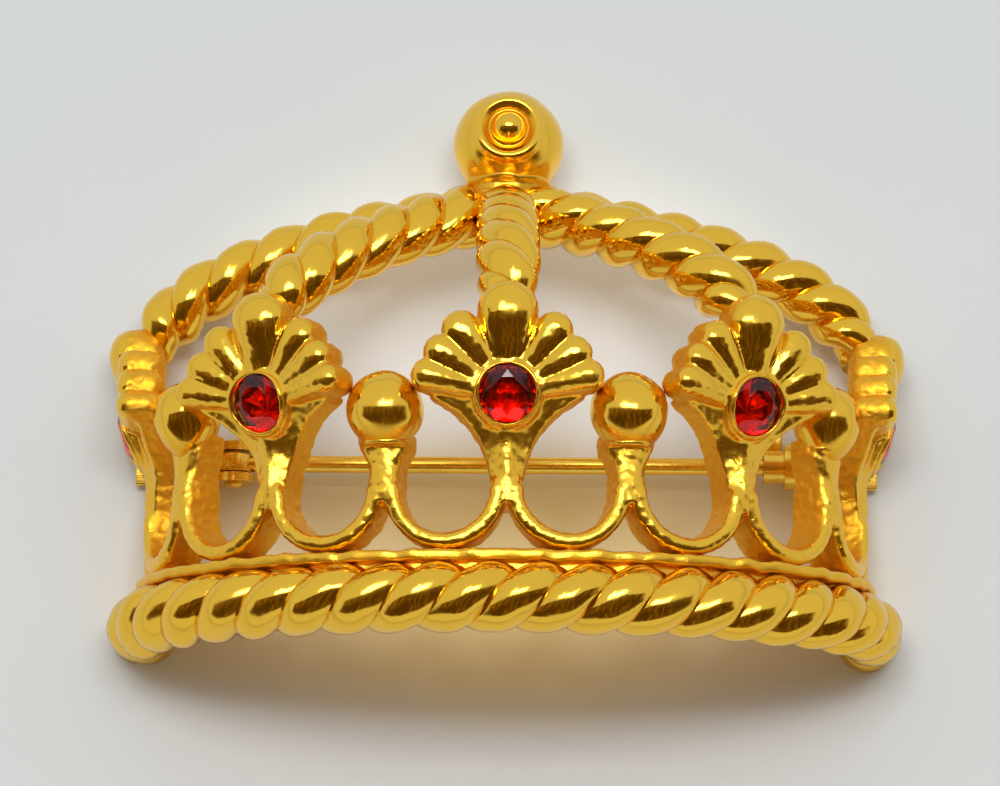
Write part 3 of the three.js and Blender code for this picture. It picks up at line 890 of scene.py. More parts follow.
@dataclass
class Rim:
    """The twisted rope round the foot of the crown and the ledge on top of it."""

    wall: Wall
    rope: Rope
    ledge_thickness: float = 0.8
    lip_thickness: float = 0.55
    web_setback: float = 0.75
    ledge_depth: float = 3.1
    ledge_sink: float = 0.9
    gap: float = 0.1
    overshoot: float = 1.2
    rope_lift: float = 0.22
    ledge_lift: float = 0.08
    edge_round: float = 0.2
    sections: int = 260
    lip_sag: float = 0.10
    lip_waver: float = 0.14
    lip_sway: float = 0.2

    @property
    def ledge_bottom(self) -> float:
        """Height of the ledge's underside."""
        return self.rope.radius + self.gap

    @property
    def ledge_top(self) -> float:
        """Height of the ledge's upper side."""
        return self.ledge_bottom + self.ledge_thickness

    def build_rope(self, shop: Workshop) -> None:
        """Bends the rope along the wall and cuts its ends flat.

        Args:
            shop: The workshop that places the pieces.
        """
        reach = self.wall.half_length + self.wall.end_rise + self.overshoot
        surface = Surface(self.rope.drawing(-reach, reach), "rim_rope")
        surface.points = self.wall.wrapped(surface.points + np.array([0, self.rope_lift, 0]))
        self.rope.dress(surface, 1.0)
        shop.gold(surface.copied(0.0), "rim_rope")

    def build_ledge(self, shop: Workshop) -> None:
        """Makes the ledge as a sloping strip with a wavering front lip.

        Args:
            shop: The workshop that places the pieces.
        """
        reach = self.wall.half_length + self.wall.end_rise
        drawing = bmesh.new()
        inner = -self.wall.inset - self.ledge_depth / 2
        front = inner + self.ledge_depth
        lip = self.ledge_top - self.lip_thickness
        layers = [(lip, self.ledge_top, front), (lip - self.ledge_sink, lip, front - self.web_setback)]
        for low, high, reach_out in layers:
            middle = Matrix.Translation((0, (low + high) / 2, (inner + reach_out) / 2))
            size = Matrix.Diagonal((2 * reach, high - low + 0.1, reach_out - inner, 1))
            corners = bmesh.ops.create_cube(drawing, size=1.0, matrix=middle @ size)["verts"]
            edges = {edge for corner in corners for edge in corner.link_edges}
            bmesh.ops.bevel(
                drawing, geom=lengthwise(edges, reach), offset=self.edge_round, segments=4, profile=0.5,
                affect="EDGES", material=-1,
            )
        long_edges = lengthwise(drawing.edges, reach)
        bmesh.ops.subdivide_edges(drawing, edges=long_edges, cuts=self.sections, use_grid_fill=False)
        surface = Surface(drawing, "rim_ledge")
        points = surface.points
        front = smooth_step(points[:, 2], -1.5, 0.2)
        wave = np.array([noise.noise(Vector((x * 0.9, 2.0, 0.0))) for x in points[:, 0]])
        points[:, 1] += front * (self.lip_waver * wave - self.lip_sag)
        points[:, 2] += front * self.lip_sway * wave
        points[:, 1] += self.ledge_lift
        surface.points = self.wall.wrapped(points)
        surface.roughen(0.06, 0.7, 5.0)
        upper = surface.normals[:, 1]
        # Painted shade on the underside of the ledge, which faces down.
        surface.paint("painted_shade", 0.75 * (1 - smooth_step(upper, -0.5, 0.3)))
        surface.paint("raw", 0.25 + 0.5 * (1 - smooth_step(upper, -0.4, 0.4)))
        shop.gold(surface.copied(self.wall.back_plane), "rim_ledge")


# ---------------------------------------------------------------- gallery


@dataclass(frozen=True)
class BallKind:
    """The sizes of one pair of balls and of the cups that hold them."""

    word: str
    post: int
    radius: float
    rise: float
    cup: float
    pull: float


@dataclass
class Gallery:
    """The hanging loops between the posts and the short posts that carry balls."""

    wall: Wall
    ledge_top: float
    strip: float = 1.0
    thickness: float = 2.5
    loop_drop: float = 3.6
    loop_lift: float = 0.06
    fork_drop: float = 0.9
    post_width: float = 2.1
    ball_shift: float = 0.6
    arm_angle: float = 0.72
    arm_overlap: float = 0.1
    arm_stub: float = 1.2
    tuck: float = 0.04
    front_square: float = 0.8
    back_square: float = 0.45
    back_share: float = 0.3
    web_rise: float = 0.35
    web_width: float = 0.75
    web_setback: float = 0.12
    cup_inset: float = 0.98
    cup_wire: float = 0.22
    front_raw: float = 0.22
    voxel: float = 0.085
    balls: tuple[BallKind, ...] = (
        BallKind("inner", 1, 2.2, 5.4, 1.5, 0.06),
        BallKind("outer", 3, 2.0, 6.2, 1.4, 0.28),
    )

    @property
    def loop_centre(self) -> float:
        """Height of the middle of each loop's ellipse."""
        return self.ledge_top + self.loop_drop

    @property
    def fork(self) -> float:
        """Height at which two loops run into one post."""
        return self.loop_centre - self.fork_drop

    def arc(
        self, drawing: bmesh.types.BMesh, side: int, span: float, start: float, end: float, stub: float
    ) -> None:
        """Adds part of the loop that hangs beside a post at x = 0.

        Args:
            drawing: The drawing to add to.
            side: 1 for the loop on the right of the post, -1 for the one on its left.
            span: The distance to the post at the loop's other end.
            start: Where the part begins, as an angle down from the post.
            end: Where it ends.
            stub: How far its beginning is drawn out straight upwards.
        """
        half = self.strip / 2
        back = self.back_share * half
        across = span / 2 - half + self.tuck
        down = self.loop_drop - half - self.loop_lift
        before = set(drawing.verts)
        section = bmesh.ops.create_circle(drawing, cap_ends=False, radius=1.0, segments=28)["verts"]
        for vertex in section:
            flat, out = vertex.co.x, vertex.co.y
            square = self.back_square if out < 0 else self.front_square
            base = self.thickness / 2 - half if out > 0 else back - self.thickness / 2
            reach = half if out > 0 else back
            flat = math.copysign(abs(flat) ** square, flat)
            vertex.co = (flat * half - across, 0, base + out * reach)
        bmesh.ops.rotate(drawing, cent=(0, 0, 0), matrix=Matrix.Rotation(start, 3, "Z"), verts=section)
        edges = list({edge for vertex in section for edge in vertex.link_edges})
        if stub > 0:
            made = bmesh.ops.extrude_edge_only(drawing, edges=edges)["geom"]
            tips = [item for item in made if isinstance(item, bmesh.types.BMVert)]
            bmesh.ops.translate(drawing, vec=(-0.35, stub, -0.15), verts=tips)
            bmesh.ops.scale(drawing, vec=(1, 1, 0.7), verts=tips)
        bmesh.ops.spin(
            drawing, geom=[*section, *edges], cent=(0, 0, 0), axis=Z_AXIS, angle=end - start,
            steps=max(round((end - start) * 14), 4), use_merge=False,
        )
        added = [vertex for vertex in drawing.verts if vertex not in before]
        open_edges = list({edge for vertex in added for edge in vertex.link_edges if edge.is_boundary})
        bmesh.ops.holes_fill(drawing, edges=open_edges, sides=0)
        for vertex in added:
            along, up, out = vertex.co
            vertex.co = (side * (span / 2 + along), self.loop_centre + up * down / across, out)
        faces = list({face for vertex in added for face in vertex.link_faces})
        bmesh.ops.recalc_face_normals(drawing, faces=faces)

    def fork_arms(self, drawing: bmesh.types.BMesh, spans: tuple[float, float]) -> None:
        """Adds the two arms that fork out under a post at x = 0."""
        for side, span in zip((-1, 1), spans):
            self.arc(drawing, side, span, 0.0, self.arm_angle + self.arm_overlap, self.arm_stub)

    def spans(self, index: int) -> tuple[float, float]:
        """Returns the distances from a post to its neighbours on the left and on the right."""
        left, here, right = (self.wall.post(index + step) for step in (-1, 0, 1))
        return round(here - left, 4), round(right - here, 4)

    def web(self, drawing: bmesh.types.BMesh) -> None:
        """Fills the crotch of the fork under a post at x = 0 with a lump that the remesh melts in.

        Args:
            drawing: The drawing to add to.
        """
        half = self.thickness / 2
        middle = Matrix.Translation((0, self.fork + self.web_rise, -self.web_setback))
        size = Matrix.Diagonal((self.web_width, self.web_width, half - 0.1, 1))
        bmesh.ops.create_uvsphere(drawing, u_segments=24, v_segments=16, radius=1.0, matrix=middle @ size)

    def mounted(self, points: np.ndarray, along: float) -> np.ndarray:
        """Puts a piece drawn round x = 0 on a post, its arms bent with the wall and its top straight.

        Args:
            points: The flat points, as rows.
            along: Distance of the post along the rim.

        Returns:
            The points in place.
        """
        wrapped = self.wall.wrapped(points + np.array([along, 0.0, -self.wall.inset]))
        place = np.array(self.wall.stand(along, -self.wall.inset))
        rigid = points @ place[:3, :3].T + place[:3, 3]
        share = smooth_step(points[:, 1], self.fork + 0.2, self.fork + 2.2)[:, None]
        return wrapped * (1 - share) + rigid * share

    def mark(self, surface: Surface) -> None:
        """Marks the polished front and the raw sides and back of a piece that is still flat, with painted
        shade in its grooves and on its sides.

        Args:
            surface: The piece.
        """
        sides = 1 - smooth_step(surface.normals[:, 2], 0.15, 0.65)
        hollow_shade = surface.hollows(5, 0.16)
        # Painted shade: grooves, and less so the sides, are darkened.
        surface.paint("painted_shade", np.clip(hollow_shade * 0.9 + 0.45 * sides, 0, 1))
        surface.paint("raw", np.maximum(sides, self.front_raw))

    def texture(self, surface: Surface, extra: float = 0.0) -> None:
        """Roughens a piece in place, so that the skin runs on from one piece to the next.

        Args:
            surface: The piece.
            extra: Further height of the fine noise, in millimetres.
        """
        sides = surface.painted("raw")
        surface.roughen(0.02 + extra + 0.045 * sides, 0.42, 20.0)
        surface.roughen(0.06, 1.9, 22.0)

    def build_loops(self, shop: Workshop) -> None:
        """Makes the ten loops.

        Args:
            shop: The workshop that places the pieces.
        """
        first = -self.wall.last_post - 1
        for index in range(first, self.wall.last_post + 1):
            left = self.wall.post(index)
            drawing = bmesh.new()
            start = self.arm_angle - self.arm_overlap
            self.arc(drawing, 1, self.spans(index)[1], start, math.pi - start, 0.0)
            drawing = remeshed(drawing, self.voxel, 2)
            bmesh.ops.translate(drawing, vec=(left, 0, -self.wall.inset), verts=drawing.verts)
            name = f"gallery_loop_{index - first + 1}"
            surface = Surface(drawing, name)
            self.mark(surface)
            surface.points = self.wall.wrapped(surface.points)
            self.texture(surface)
            shop.gold(surface.copied(self.wall.back_plane), name)

    def post_drawing(
        self, ball_radius: float, ball_height: float, cup: float, spans: tuple[float, float]
    ) -> bmesh.types.BMesh:
        """Draws the post under one ball, flat, with the cup that holds the ball.

        Args:
            ball_radius: Radius of the ball.
            ball_height: Height of the ball's middle.
            cup: Radius of the cup.
            spans: Distances to the posts on the left and on the right.

        Returns:
            The drawing.
        """
        drawing = bmesh.new()
        foot = self.fork + 0.1
        rise = ball_height - 0.6 * ball_radius - foot

        def shape(across: float, up: float, out: float) -> tuple[float, float, float]:
            """Gives the place of a point of the post.

            Args:
                across: From -1 at its left side to 1 at its right.
                up: From -1 at its foot to 1 at the cup.
                out: From -1 at its back to 1 at its front.

            Returns:
                The place.
            """
            share = (up + 1) / 2
            flare = (cup - self.cup_inset) * float(smooth_step(share, 0.5, 0.85))
            half = self.post_width / 2 - 0.07 + flare - 0.08 * math.sin(math.pi * min(share * 1.4, 1))
            depth = self.thickness / 2 * (1 - 0.12 * float(smooth_step(share, 0.3, 0.5)))
            edge = 1 - 0.16 * abs(across) ** 3 if out > 0 else 1.0
            narrow = 1 - 0.22 * max(out, 0.0) ** 4
            return across * half * narrow, foot + share * rise, out * depth * edge

        block(drawing, 14, shape)
        self.fork_arms(drawing, spans)
        self.web(drawing)
        lying = self.lying(ball_height - 0.88 * ball_radius, self.ball_shift * 0.55)
        ring(drawing, cup * 0.84, self.cup_wire, lying)
        return drawing

    @staticmethod
    def lying(height: float, out: float) -> Matrix:
        """Returns the place of a ring whose axis runs up the crown."""
        return Matrix.Translation((0, height, out)) @ Matrix.Rotation(math.pi / 2, 4, "X")

    def build_balls(self, shop: Workshop) -> None:
        """Makes the four balls and their posts.

        Args:
            shop: The workshop that places the pieces.
        """
        for index in (-3, -1, 1, 3):
            kind = next(kind for kind in self.balls if kind.post == abs(index))
            side = "left" if index < 0 else "right"
            height = self.fork + kind.rise
            name = f"ball_post_{kind.word}_{side}"
            drawing = self.post_drawing(kind.radius, height, kind.cup, self.spans(index))
            post = Surface(remeshed(drawing, self.voxel, 6), name)
            self.mark(post)
            post.points = self.mounted(post.points, self.wall.post(index))
            self.texture(post, 0.02)
            post.paint("raw", np.clip(post.painted("raw") + 0.2, 0, 1))
            shop.gold(post, name)
            name = f"ball_{kind.word}_{side}"
            drawing = bmesh.new()
            ball(drawing, kind.radius, (0, height, self.ball_shift), 64)
            round_ball = Surface(drawing, name)
            points = round_ball.points
            below = np.clip((height - points[:, 1]) / kind.radius, 0, 1)
            points[:, 1] -= kind.pull * kind.radius * below**4
            round_ball.points = points
            round_ball.roughen(0.07, 1.5, 40.0 + index)
            lower = 1 - smooth_step(round_ball.normals[:, 1], -0.9, -0.45)
            # Painted shade on the underside of the ball.
            round_ball.paint("painted_shade", 0.7 * lower)
            round_ball.paint("raw", 0.5 * lower)
            round_ball.turned(self.wall.stand(self.wall.post(index), -self.wall.inset))
            shop.gold(round_ball, name)


# ---------------------------------------------------------------- fleurons


@dataclass
class Fleuron:
    """A shell-shaped head of seven lobes on a forked stem, with a stone in a bezel at its middle."""

    gallery: Gallery
    thickness: float = 2.4
    post_width: float = 1.92
    stem_straight: float = 1.3
    stone_rise: float = 5.9
    underside_half: float = 4.5
    lobes: tuple[tuple[float, float, float], ...] = (
        (35.5, 5.55, 1.05), (58.0, 5.4, 0.95), (77.0, 5.5, 0.88),
    )
    lobe_start: float = 1.3
    lobe_root: float = 0.52
    lobe_fronts: tuple[float, float] = (1.10, 1.72)
    top_reach: float = 6.05
    bulb_reach: float = 6.45
    bulb_radius: float = 1.72
    bulb_proud: float = 1.0
    bulb_root: float = 0.95
    bulb_root_front: float = 1.12
    back_radius: float = 2.7
    ridge: float = 1.22
    ridge_drop: float = 0.12
    hollow: float = 0.30
    hollow_growth: float = 0.35
    lip: float = 0.12
    stem_round: float = 0.32
    funnel_top: float = 0.8
    stone_radius: float = 1.55
    bezel_wall: float = 0.28
    bezel_proud: float = 0.26
    lean: float = 1.3
    funnel_raw: float = 0.38
    stone_sink: float = 0.12
    lean_start: float = 3.0
    lean_end: float = 6.6
    voxel: float = 0.085

    @property
    def wall(self) -> Wall:
        """The wall that the fleurons stand on."""
        return self.gallery.wall

    @property
    def fork(self) -> float:
        """Height at which the stem forks."""
        return self.gallery.fork

    @property
    def stone_height(self) -> float:
        """Height of the stone's middle up the crown."""
        return self.fork + self.stone_rise

    @property
    def girdle(self) -> float:
        """How far the stone's girdle stands out of the middle of the head."""
        return self.thickness / 2

    def petal(
        self, drawing: bmesh.types.BMesh, angle: float, start: float, reach: float, tip: float, root: float,
        fronts: tuple[float, float],
    ) -> None:
        """Adds one lobe, round at its tip and narrowing towards the stone.

        Args:
            drawing: The drawing to add to.
            angle: Turn from straight up, in degrees.
            start: Distance of its root from the stone's middle.
            reach: Distance of its tip from the stone's middle.
            tip: Its half width near the tip.
            root: Its half width at the root.
            fronts: How far its front stands out at the root and at the tip.
        """
        made = bmesh.ops.create_uvsphere(drawing, u_segments=40, v_segments=28, radius=1.0)["verts"]
        body = reach - start - tip
        back = -self.thickness / 2
        for vertex in made:
            across, along, out = vertex.co
            if along >= 0:
                up = body + along * tip
                half = tip
                share = 1.0
            else:
                share = max(1 + along, 0.0) ** 1.3
                up = body * share
                full = math.sqrt(max(1 - along * along, 1e-6))
                across, out = across / full, out / full
                half = root + (tip - root) * share
            front = fronts[0] + (fronts[1] - fronts[0]) * float(smooth_step(share, 0.0, 1.0))
            dome = half * 0.95
            base = front - dome
            height = base + dome * out**0.7 if out > 0 else base + (back - base) * (-out) ** 0.4
            vertex.co = (across * half, start + up, height)
        turn = Matrix.Rotation(-math.radians(angle), 4, "Z")
        bmesh.ops.transform(drawing, matrix=Matrix.Translation((0, self.stone_height, 0)) @ turn, verts=made)

    def body_shape(self, across: float, up: float, out: float) -> tuple[float, float, float]:
        """Gives the stem and the flaring funnel under the stone, from the points of a cube.

        Args:
            across: From -1 at the left side to 1 at the right.
            up: From -1 at the foot through 0 at the top of the stem to 1.
            out: From -1 at the back to 1 at the front.

        Returns:
            The place of the point.
        """
        half_post = self.post_width / 2 - 0.03
        stem_top = self.fork + self.stem_straight
        underside = self.stone_height
        foot = self.fork
        if up < 0:
            share = up + 1
            height = foot + (stem_top - foot) * share
            half = half_post
            flare = 0.0
        else:
            flare = min(up / self.funnel_top, 1.0)
            bottom, top = Vector((half_post, stem_top)), Vector((self.underside_half, underside))
            middle = Vector((half_post + 0.32, underside - 1.2))
            point = bottom * (1 - flare) ** 2 + middle * 2 * flare * (1 - flare) + top * flare**2
            half, height = point
            past = max(up - self.funnel_top, 0)
            height += 1.1 * past / 0.2
            half -= 0.9 * past / 0.2
        side = abs(across)
        if out <= 0:
            return across * half, height, out * self.thickness / 2
        ridge = self.ridge - self.ridge_drop * flare
        depth = self.hollow + self.hollow_growth * flare
        hollow = depth * math.sin(min(side * 1.25, 1.0) * math.pi / 2) ** 2
        lip = self.lip * flare * float(smooth_step(side, 0.72, 0.98))
        round_off = self.stem_round * (1 - flare) * side**4
        return across * half, height, out * (ridge - hollow + lip - round_off)

    def head_drawing(self, spans: tuple[float, float]) -> bmesh.types.BMesh:
        """Draws a whole fleuron, flat, its stem on x = 0.

        Args:
            spans: Distances to the posts on the left and on the right.

        Returns:
            The drawing.
        """
        drawing = bmesh.new()
        block(drawing, 22, self.body_shape)
        self.gallery.fork_arms(drawing, spans)
        self.gallery.web(drawing)
        centre = Matrix.Translation((0, self.stone_height, 0))
        disc(drawing, self.back_radius, -self.thickness / 2, 0.35, centre @ Matrix.Translation((0, 1.2, 0)))
        for angle, reach, size in self.lobes:
            for side in (-1, 1):
                turn = side * angle
                self.petal(drawing, turn, self.lobe_start, reach, size, self.lobe_root, self.lobe_fronts)
        fronts = (self.bulb_root_front, self.thickness / 2 + self.bulb_proud)
        self.petal(drawing, 0.0, self.lobe_start, self.bulb_reach, self.bulb_radius, self.bulb_root, fronts)
        outer = self.stone_radius + self.bezel_wall
        disc(drawing, outer + 0.1, -self.thickness / 2, self.girdle + 0.02, centre, 64)
        drawing = remeshed(drawing, self.voxel, 6)
        wire = 0.14
        stretch = Matrix.Diagonal((1, 1, self.bezel_proud / wire, 1))
        rim = centre @ Matrix.Translation((0, 0, self.girdle)) @ stretch
        ring(drawing, outer - 0.13, wire, rim, 96)
        return drawing

    def seat(self, points: np.ndarray) -> np.ndarray:
        """Presses the seat of the stone into the front of a head.

        Args:
            points: The points of the head, still flat.

        Returns:
            The pressed points.
        """
        away = np.hypot(points[:, 0], points[:, 1] - self.stone_height)
        inside = (away < self.stone_radius + 0.02) & (points[:, 2] > -0.2)
        depth = self.girdle - 0.3 - 1.5 * np.clip(1 - away / self.stone_radius, 0, 1)
        moved = points.copy()
        moved[inside, 2] = np.minimum(points[inside, 2], depth[inside])
        return moved

    def lean_at(self, height: np.ndarray | float) -> np.ndarray:
        """Returns how far a head stands outwards of its stem at a height."""
        return self.lean * smooth_step(height, self.fork + self.lean_start, self.fork + self.lean_end)

    def leaned(self, points: np.ndarray) -> np.ndarray:
        """Carries a head outwards of its stem.

        Args:
            points: The points of the head, still flat.

        Returns:
            The moved points.
        """
        moved = points.copy()
        moved[:, 2] += self.lean_at(points[:, 1])
        return moved

    def tipped(self, points: np.ndarray) -> np.ndarray:
        """Carries a stone outwards with its head, without bending its facets.

        Args:
            points: The points of the stone.

        Returns:
            The moved points.
        """
        reach = 0.5
        low, high = self.lean_at(self.stone_height - reach), self.lean_at(self.stone_height + reach)
        moved = points.copy()
        moved[:, 2] += (low + high) / 2 + (points[:, 1] - self.stone_height) * (high - low) / (2 * reach)
        return moved

    def stone_drawing(self) -> bmesh.types.BMesh:
        """Cuts one round brilliant: a table, eight crown mains, girdle facets and a foiled pavilion.

        Returns:
            The drawing, its foiled faces on the second material.
        """
        drawing = bmesh.new()
        radius = self.stone_radius
        girdle = 0.05
        levels = [
            (8, 0.56 * radius, 0.44, 0.5),
            (8, 0.80 * radius, 0.28, 0.0),
            (16, radius, girdle, 0.0),
            (16, radius, -girdle, 0.0),
            (8, 0.74 * radius, -0.40, 0.5),
            (1, 0.0, -1.2, 0.0),
        ]
        for count, reach, height, turn in levels:
            if count == 1:
                bmesh.ops.create_vert(drawing, co=(0, 0, height))
                continue
            place = Matrix.Translation((0, 0, height)) @ Matrix.Rotation(turn * TURN / count, 4, "Z")
            bmesh.ops.create_circle(drawing, cap_ends=False, radius=reach, segments=count, matrix=place)
        bmesh.ops.convex_hull(drawing, input=drawing.verts)
        bmesh.ops.dissolve_limit(
            drawing, angle_limit=math.radians(1.0), verts=drawing.verts, edges=drawing.edges
        )
        bmesh.ops.recalc_face_normals(drawing, faces=drawing.faces)
        for face in drawing.faces:
            face.material_index = 1 if face.calc_center_median().z < -girdle - 0.01 else 0
        seat = (0, self.stone_height, self.girdle - self.stone_sink)
        bmesh.ops.translate(drawing, vec=seat, verts=drawing.verts)
        return drawing

    def word(self, index: int) -> str:
        """Names a fleuron by where it stands.

        Args:
            index: The number of its post.

        Returns:
            The word in its name.
        """
        if index == 0:
            return "centre"
        side = "left" if index < 0 else "right"
        return f"{'front' if abs(index) == 2 else 'end'}_{side}"

    def master(self, spans: tuple[float, float]) -> Surface:
        """Makes one fleuron, flat, with its raw sides marked, painted shade in its grooves and on its sides,
        and its seat pressed in.

        Args:
            spans: Distances to the posts on the left and on the right.

        Returns:
            The surface that the fleurons with these spans are copied from.
        """
        head = Surface(self.head_drawing(spans), "fleuron")
        sides = 1 - smooth_step(head.normals[:, 2], 0.05, 0.45)
        funnel = 1 - smooth_step(head.points[:, 1], self.stone_height - 0.5, self.stone_height + 1.5)
        head.paint("raw", np.maximum(sides, self.funnel_raw * funnel))
        # Painted shade: grooves, and less so the sides, are darkened.
        head.paint("painted_shade", np.clip(head.hollows(6, 0.14) + 0.4 * sides, 0, 1))
        head.points = self.seat(head.points)
        return head

    def build(self, shop: Workshop) -> None:
        """Makes the five fleurons and their stones.

        Args:
            shop: The workshop that places the pieces.
        """
        masters = {spans: self.master(spans) for spans in {self.gallery.spans(index) for index in (-4, 0, 4)}}
        for index in (-4, -2, 0, 2, 4):
            master = masters[self.gallery.spans(index)]
            word = self.word(index)
            head = master.copied()
            head.points = self.gallery.mounted(self.leaned(head.points), self.wall.post(index))
            self.gallery.texture(head)
            shop.gold(head.copied(self.wall.back_plane), f"fleuron_{word}")
            stone = f"stone_{word}"
            jewel = Surface(self.stone_drawing(), stone)
            jewel.points = self.tipped(jewel.points)
            jewel.turned(self.wall.stand(self.wall.post(index), -self.wall.inset))
            jewel.mesh.shade_flat()
            shop.deliver(jewel, stone, ["glass", "foil"], Slot.STONE, Body.CASTING, [stone])


# ---------------------------------------------------------------- arches and orb


@dataclass
class Top:
    """The five rope arches, the boss where they meet, the collar and the orb."""

    wall: Wall
    fleuron_top: float
    rope: Rope
    start_drop: float = 1.15
    start_shift: float = -0.4
    rise: float = 9.0
    foot_share: float = 0.62
    foot_length: float = 2.4
    orb_radius: float = 3.3
    boss_radius: float = 2.9
    boss_below: float = 1.7
    boss_above: float = 0.8
    boss_voxel: float = 0.11
    collar_voxel: float = 0.08
    orb_voxel: float = 0.07
    collar_radius: float = 2.5
    collar_height: float = 1.0
    gap: float = 0.1
    seat_depth: float = 1.35
    ring_radius: float = 1.75
    ring_wire: float = 0.36
    bead_radius: float = 0.95
    bead_sink: float = 0.35
    dish_depth: float = 0.25
    face_tilt: float = 8.0
    lowest: float = 0.1

    @property
    def arch_start(self) -> float:
        """Height of the arches' feet."""
        return self.fleuron_top - self.start_drop

    @property
    def arch_end(self) -> float:
        """Height at which the arches meet."""
        return self.arch_start + self.rise

    @property
    def collar_top(self) -> float:
        """Height of the collar's upper side."""
        return self.arch_end + self.boss_above + self.gap + self.collar_height

    @property
    def orb_height(self) -> float:
        """Height of the orb's middle."""
        return self.collar_top + self.orb_radius - self.seat_depth

    def arched(
        self, points: np.ndarray, index: int, shoulder: tuple[float, float], length: float
    ) -> np.ndarray:
        """Bends a straight rope over one arch.

        Args:
            points: The rope, laid along X from 0.
            index: The post that the arch springs from.
            shoulder: How far out and up its shoulder stands, as shares.
            length: The length of the arch.

        Returns:
            The bent points.
        """
        samples, travelled = self.path(index, shoulder)
        along = np.clip(points[:, 0], 0, length)
        share = np.interp(along, travelled, np.linspace(0, 1, len(travelled)))
        foot, control, crossing = samples
        one, two = (1 - share)[:, None], share[:, None]
        centre = foot * one**2 + control * 2 * one * two + crossing * two**2
        tangent = (control - foot) * one + (crossing - control) * two
        tangent /= np.linalg.norm(tangent, axis=1)[:, None]
        side = np.cross(foot - crossing, np.array(Y_AXIS))
        side /= np.linalg.norm(side)
        over = np.cross(np.broadcast_to(side, tangent.shape), tangent)
        past = (points[:, 0] - along)[:, None]
        slim = self.foot_share + (1 - self.foot_share) * smooth_step(points[:, 0:1], 0.0, self.foot_length)
        return centre + tangent * past + (over * points[:, 1:2] + side * points[:, 2:3]) * slim

    def path(self, index: int, shoulder: tuple[float, float]) -> tuple[tuple[np.ndarray, ...], np.ndarray]:
        """Returns the three controls of an arch and the distances travelled along it.

        Args:
            index: The post that the arch springs from.
            shoulder: How far out and up its shoulder stands, as shares.

        Returns:
            The foot, the control and the crossing, then the distances.
        """
        origin, _, outward = self.wall.frames(np.array([self.wall.post(index)]))
        foot = origin[0] + outward[0] * self.start_shift
        crossing = np.array([0.0, 0.0, self.orb_radius])
        control = crossing + (foot - crossing) * shoulder[0]
        foot[1], crossing[1] = self.arch_start, self.arch_end
        control[1] = self.arch_start + self.rise * shoulder[1]
        share = np.linspace(0, 1, 400)[:, None]
        line = foot * (1 - share) ** 2 + control * 2 * share * (1 - share) + crossing * share**2
        steps = np.linalg.norm(np.diff(line, axis=0), axis=1)
        return (foot, control, crossing), np.concatenate([[0.0], np.cumsum(steps)])

    def build_arches(self, shop: Workshop) -> None:
        """Makes the five arches.

        Args:
            shop: The workshop that places the pieces.
        """
        arches = {
            "centre": (0, (0.95, 0.5)),
            "end_left": (-4, (0.97, 0.66)),
            "end_right": (4, (0.97, 0.66)),
            "front_left": (-2, (0.95, 0.5)),
            "front_right": (2, (0.95, 0.5)),
        }
        for word, (index, shoulder) in arches.items():
            length = self.path(index, shoulder)[1][-1]
            surface = Surface(self.rope.drawing(0.0, length), f"arch_{word}")
            surface.points = self.arched(surface.points, index, shoulder, length)
            self.rope.dress(surface, 100.0 + index)
            if surface.points[:, 2].min() < self.wall.back_plane:
                surface = surface.copied(self.lowest)
            shop.gold(surface, f"arch_{word}")

    def upright(self, height: float) -> Matrix:
        """Returns a place on the orb's axis whose Z runs up the crown."""
        return Matrix.Translation((0, height, self.orb_radius)) @ Matrix.Rotation(-math.pi / 2, 4, "X")

    def build_boss(self, shop: Workshop) -> None:
        """Makes the lump of solder and casting where the arches meet.

        Args:
            shop: The workshop that places the pieces.
        """
        drawing = bmesh.new()
        disc(drawing, self.boss_radius - 0.35, -self.boss_below, self.boss_above, self.upright(self.arch_end))
        ball(drawing, self.boss_radius - 0.5, (0, self.arch_end - 0.3, self.orb_radius))
        surface = Surface(remeshed(drawing, self.boss_voxel, 8), "crossing_boss")
        surface.roughen(0.25, 1.3, 7.0)
        surface.fill("raw", 0.6)
        # Painted shade over the whole boss.
        surface.fill("painted_shade", 0.55)
        shop.gold(surface, "crossing_boss")

    def build_collar(self, shop: Workshop) -> None:
        """Makes the waisted collar under the orb.

        Args:
            shop: The workshop that places the pieces.
        """
        drawing = bmesh.new()
        middle = self.collar_top - self.collar_height / 2
        disc(drawing, self.collar_radius - 0.25, -0.75, 0.75, self.upright(middle))
        ring(drawing, self.collar_radius - 0.3, 0.3, self.upright(middle + 0.15))
        surface = Surface(remeshed(drawing, self.collar_voxel, 4), "orb_collar")
        surface.roughen(0.12, 0.9, 9.0)
        surface.fill("raw", 0.45)
        # Painted shade over the whole collar.
        surface.fill("painted_shade", 0.5)
        shop.gold(surface, "orb_collar")

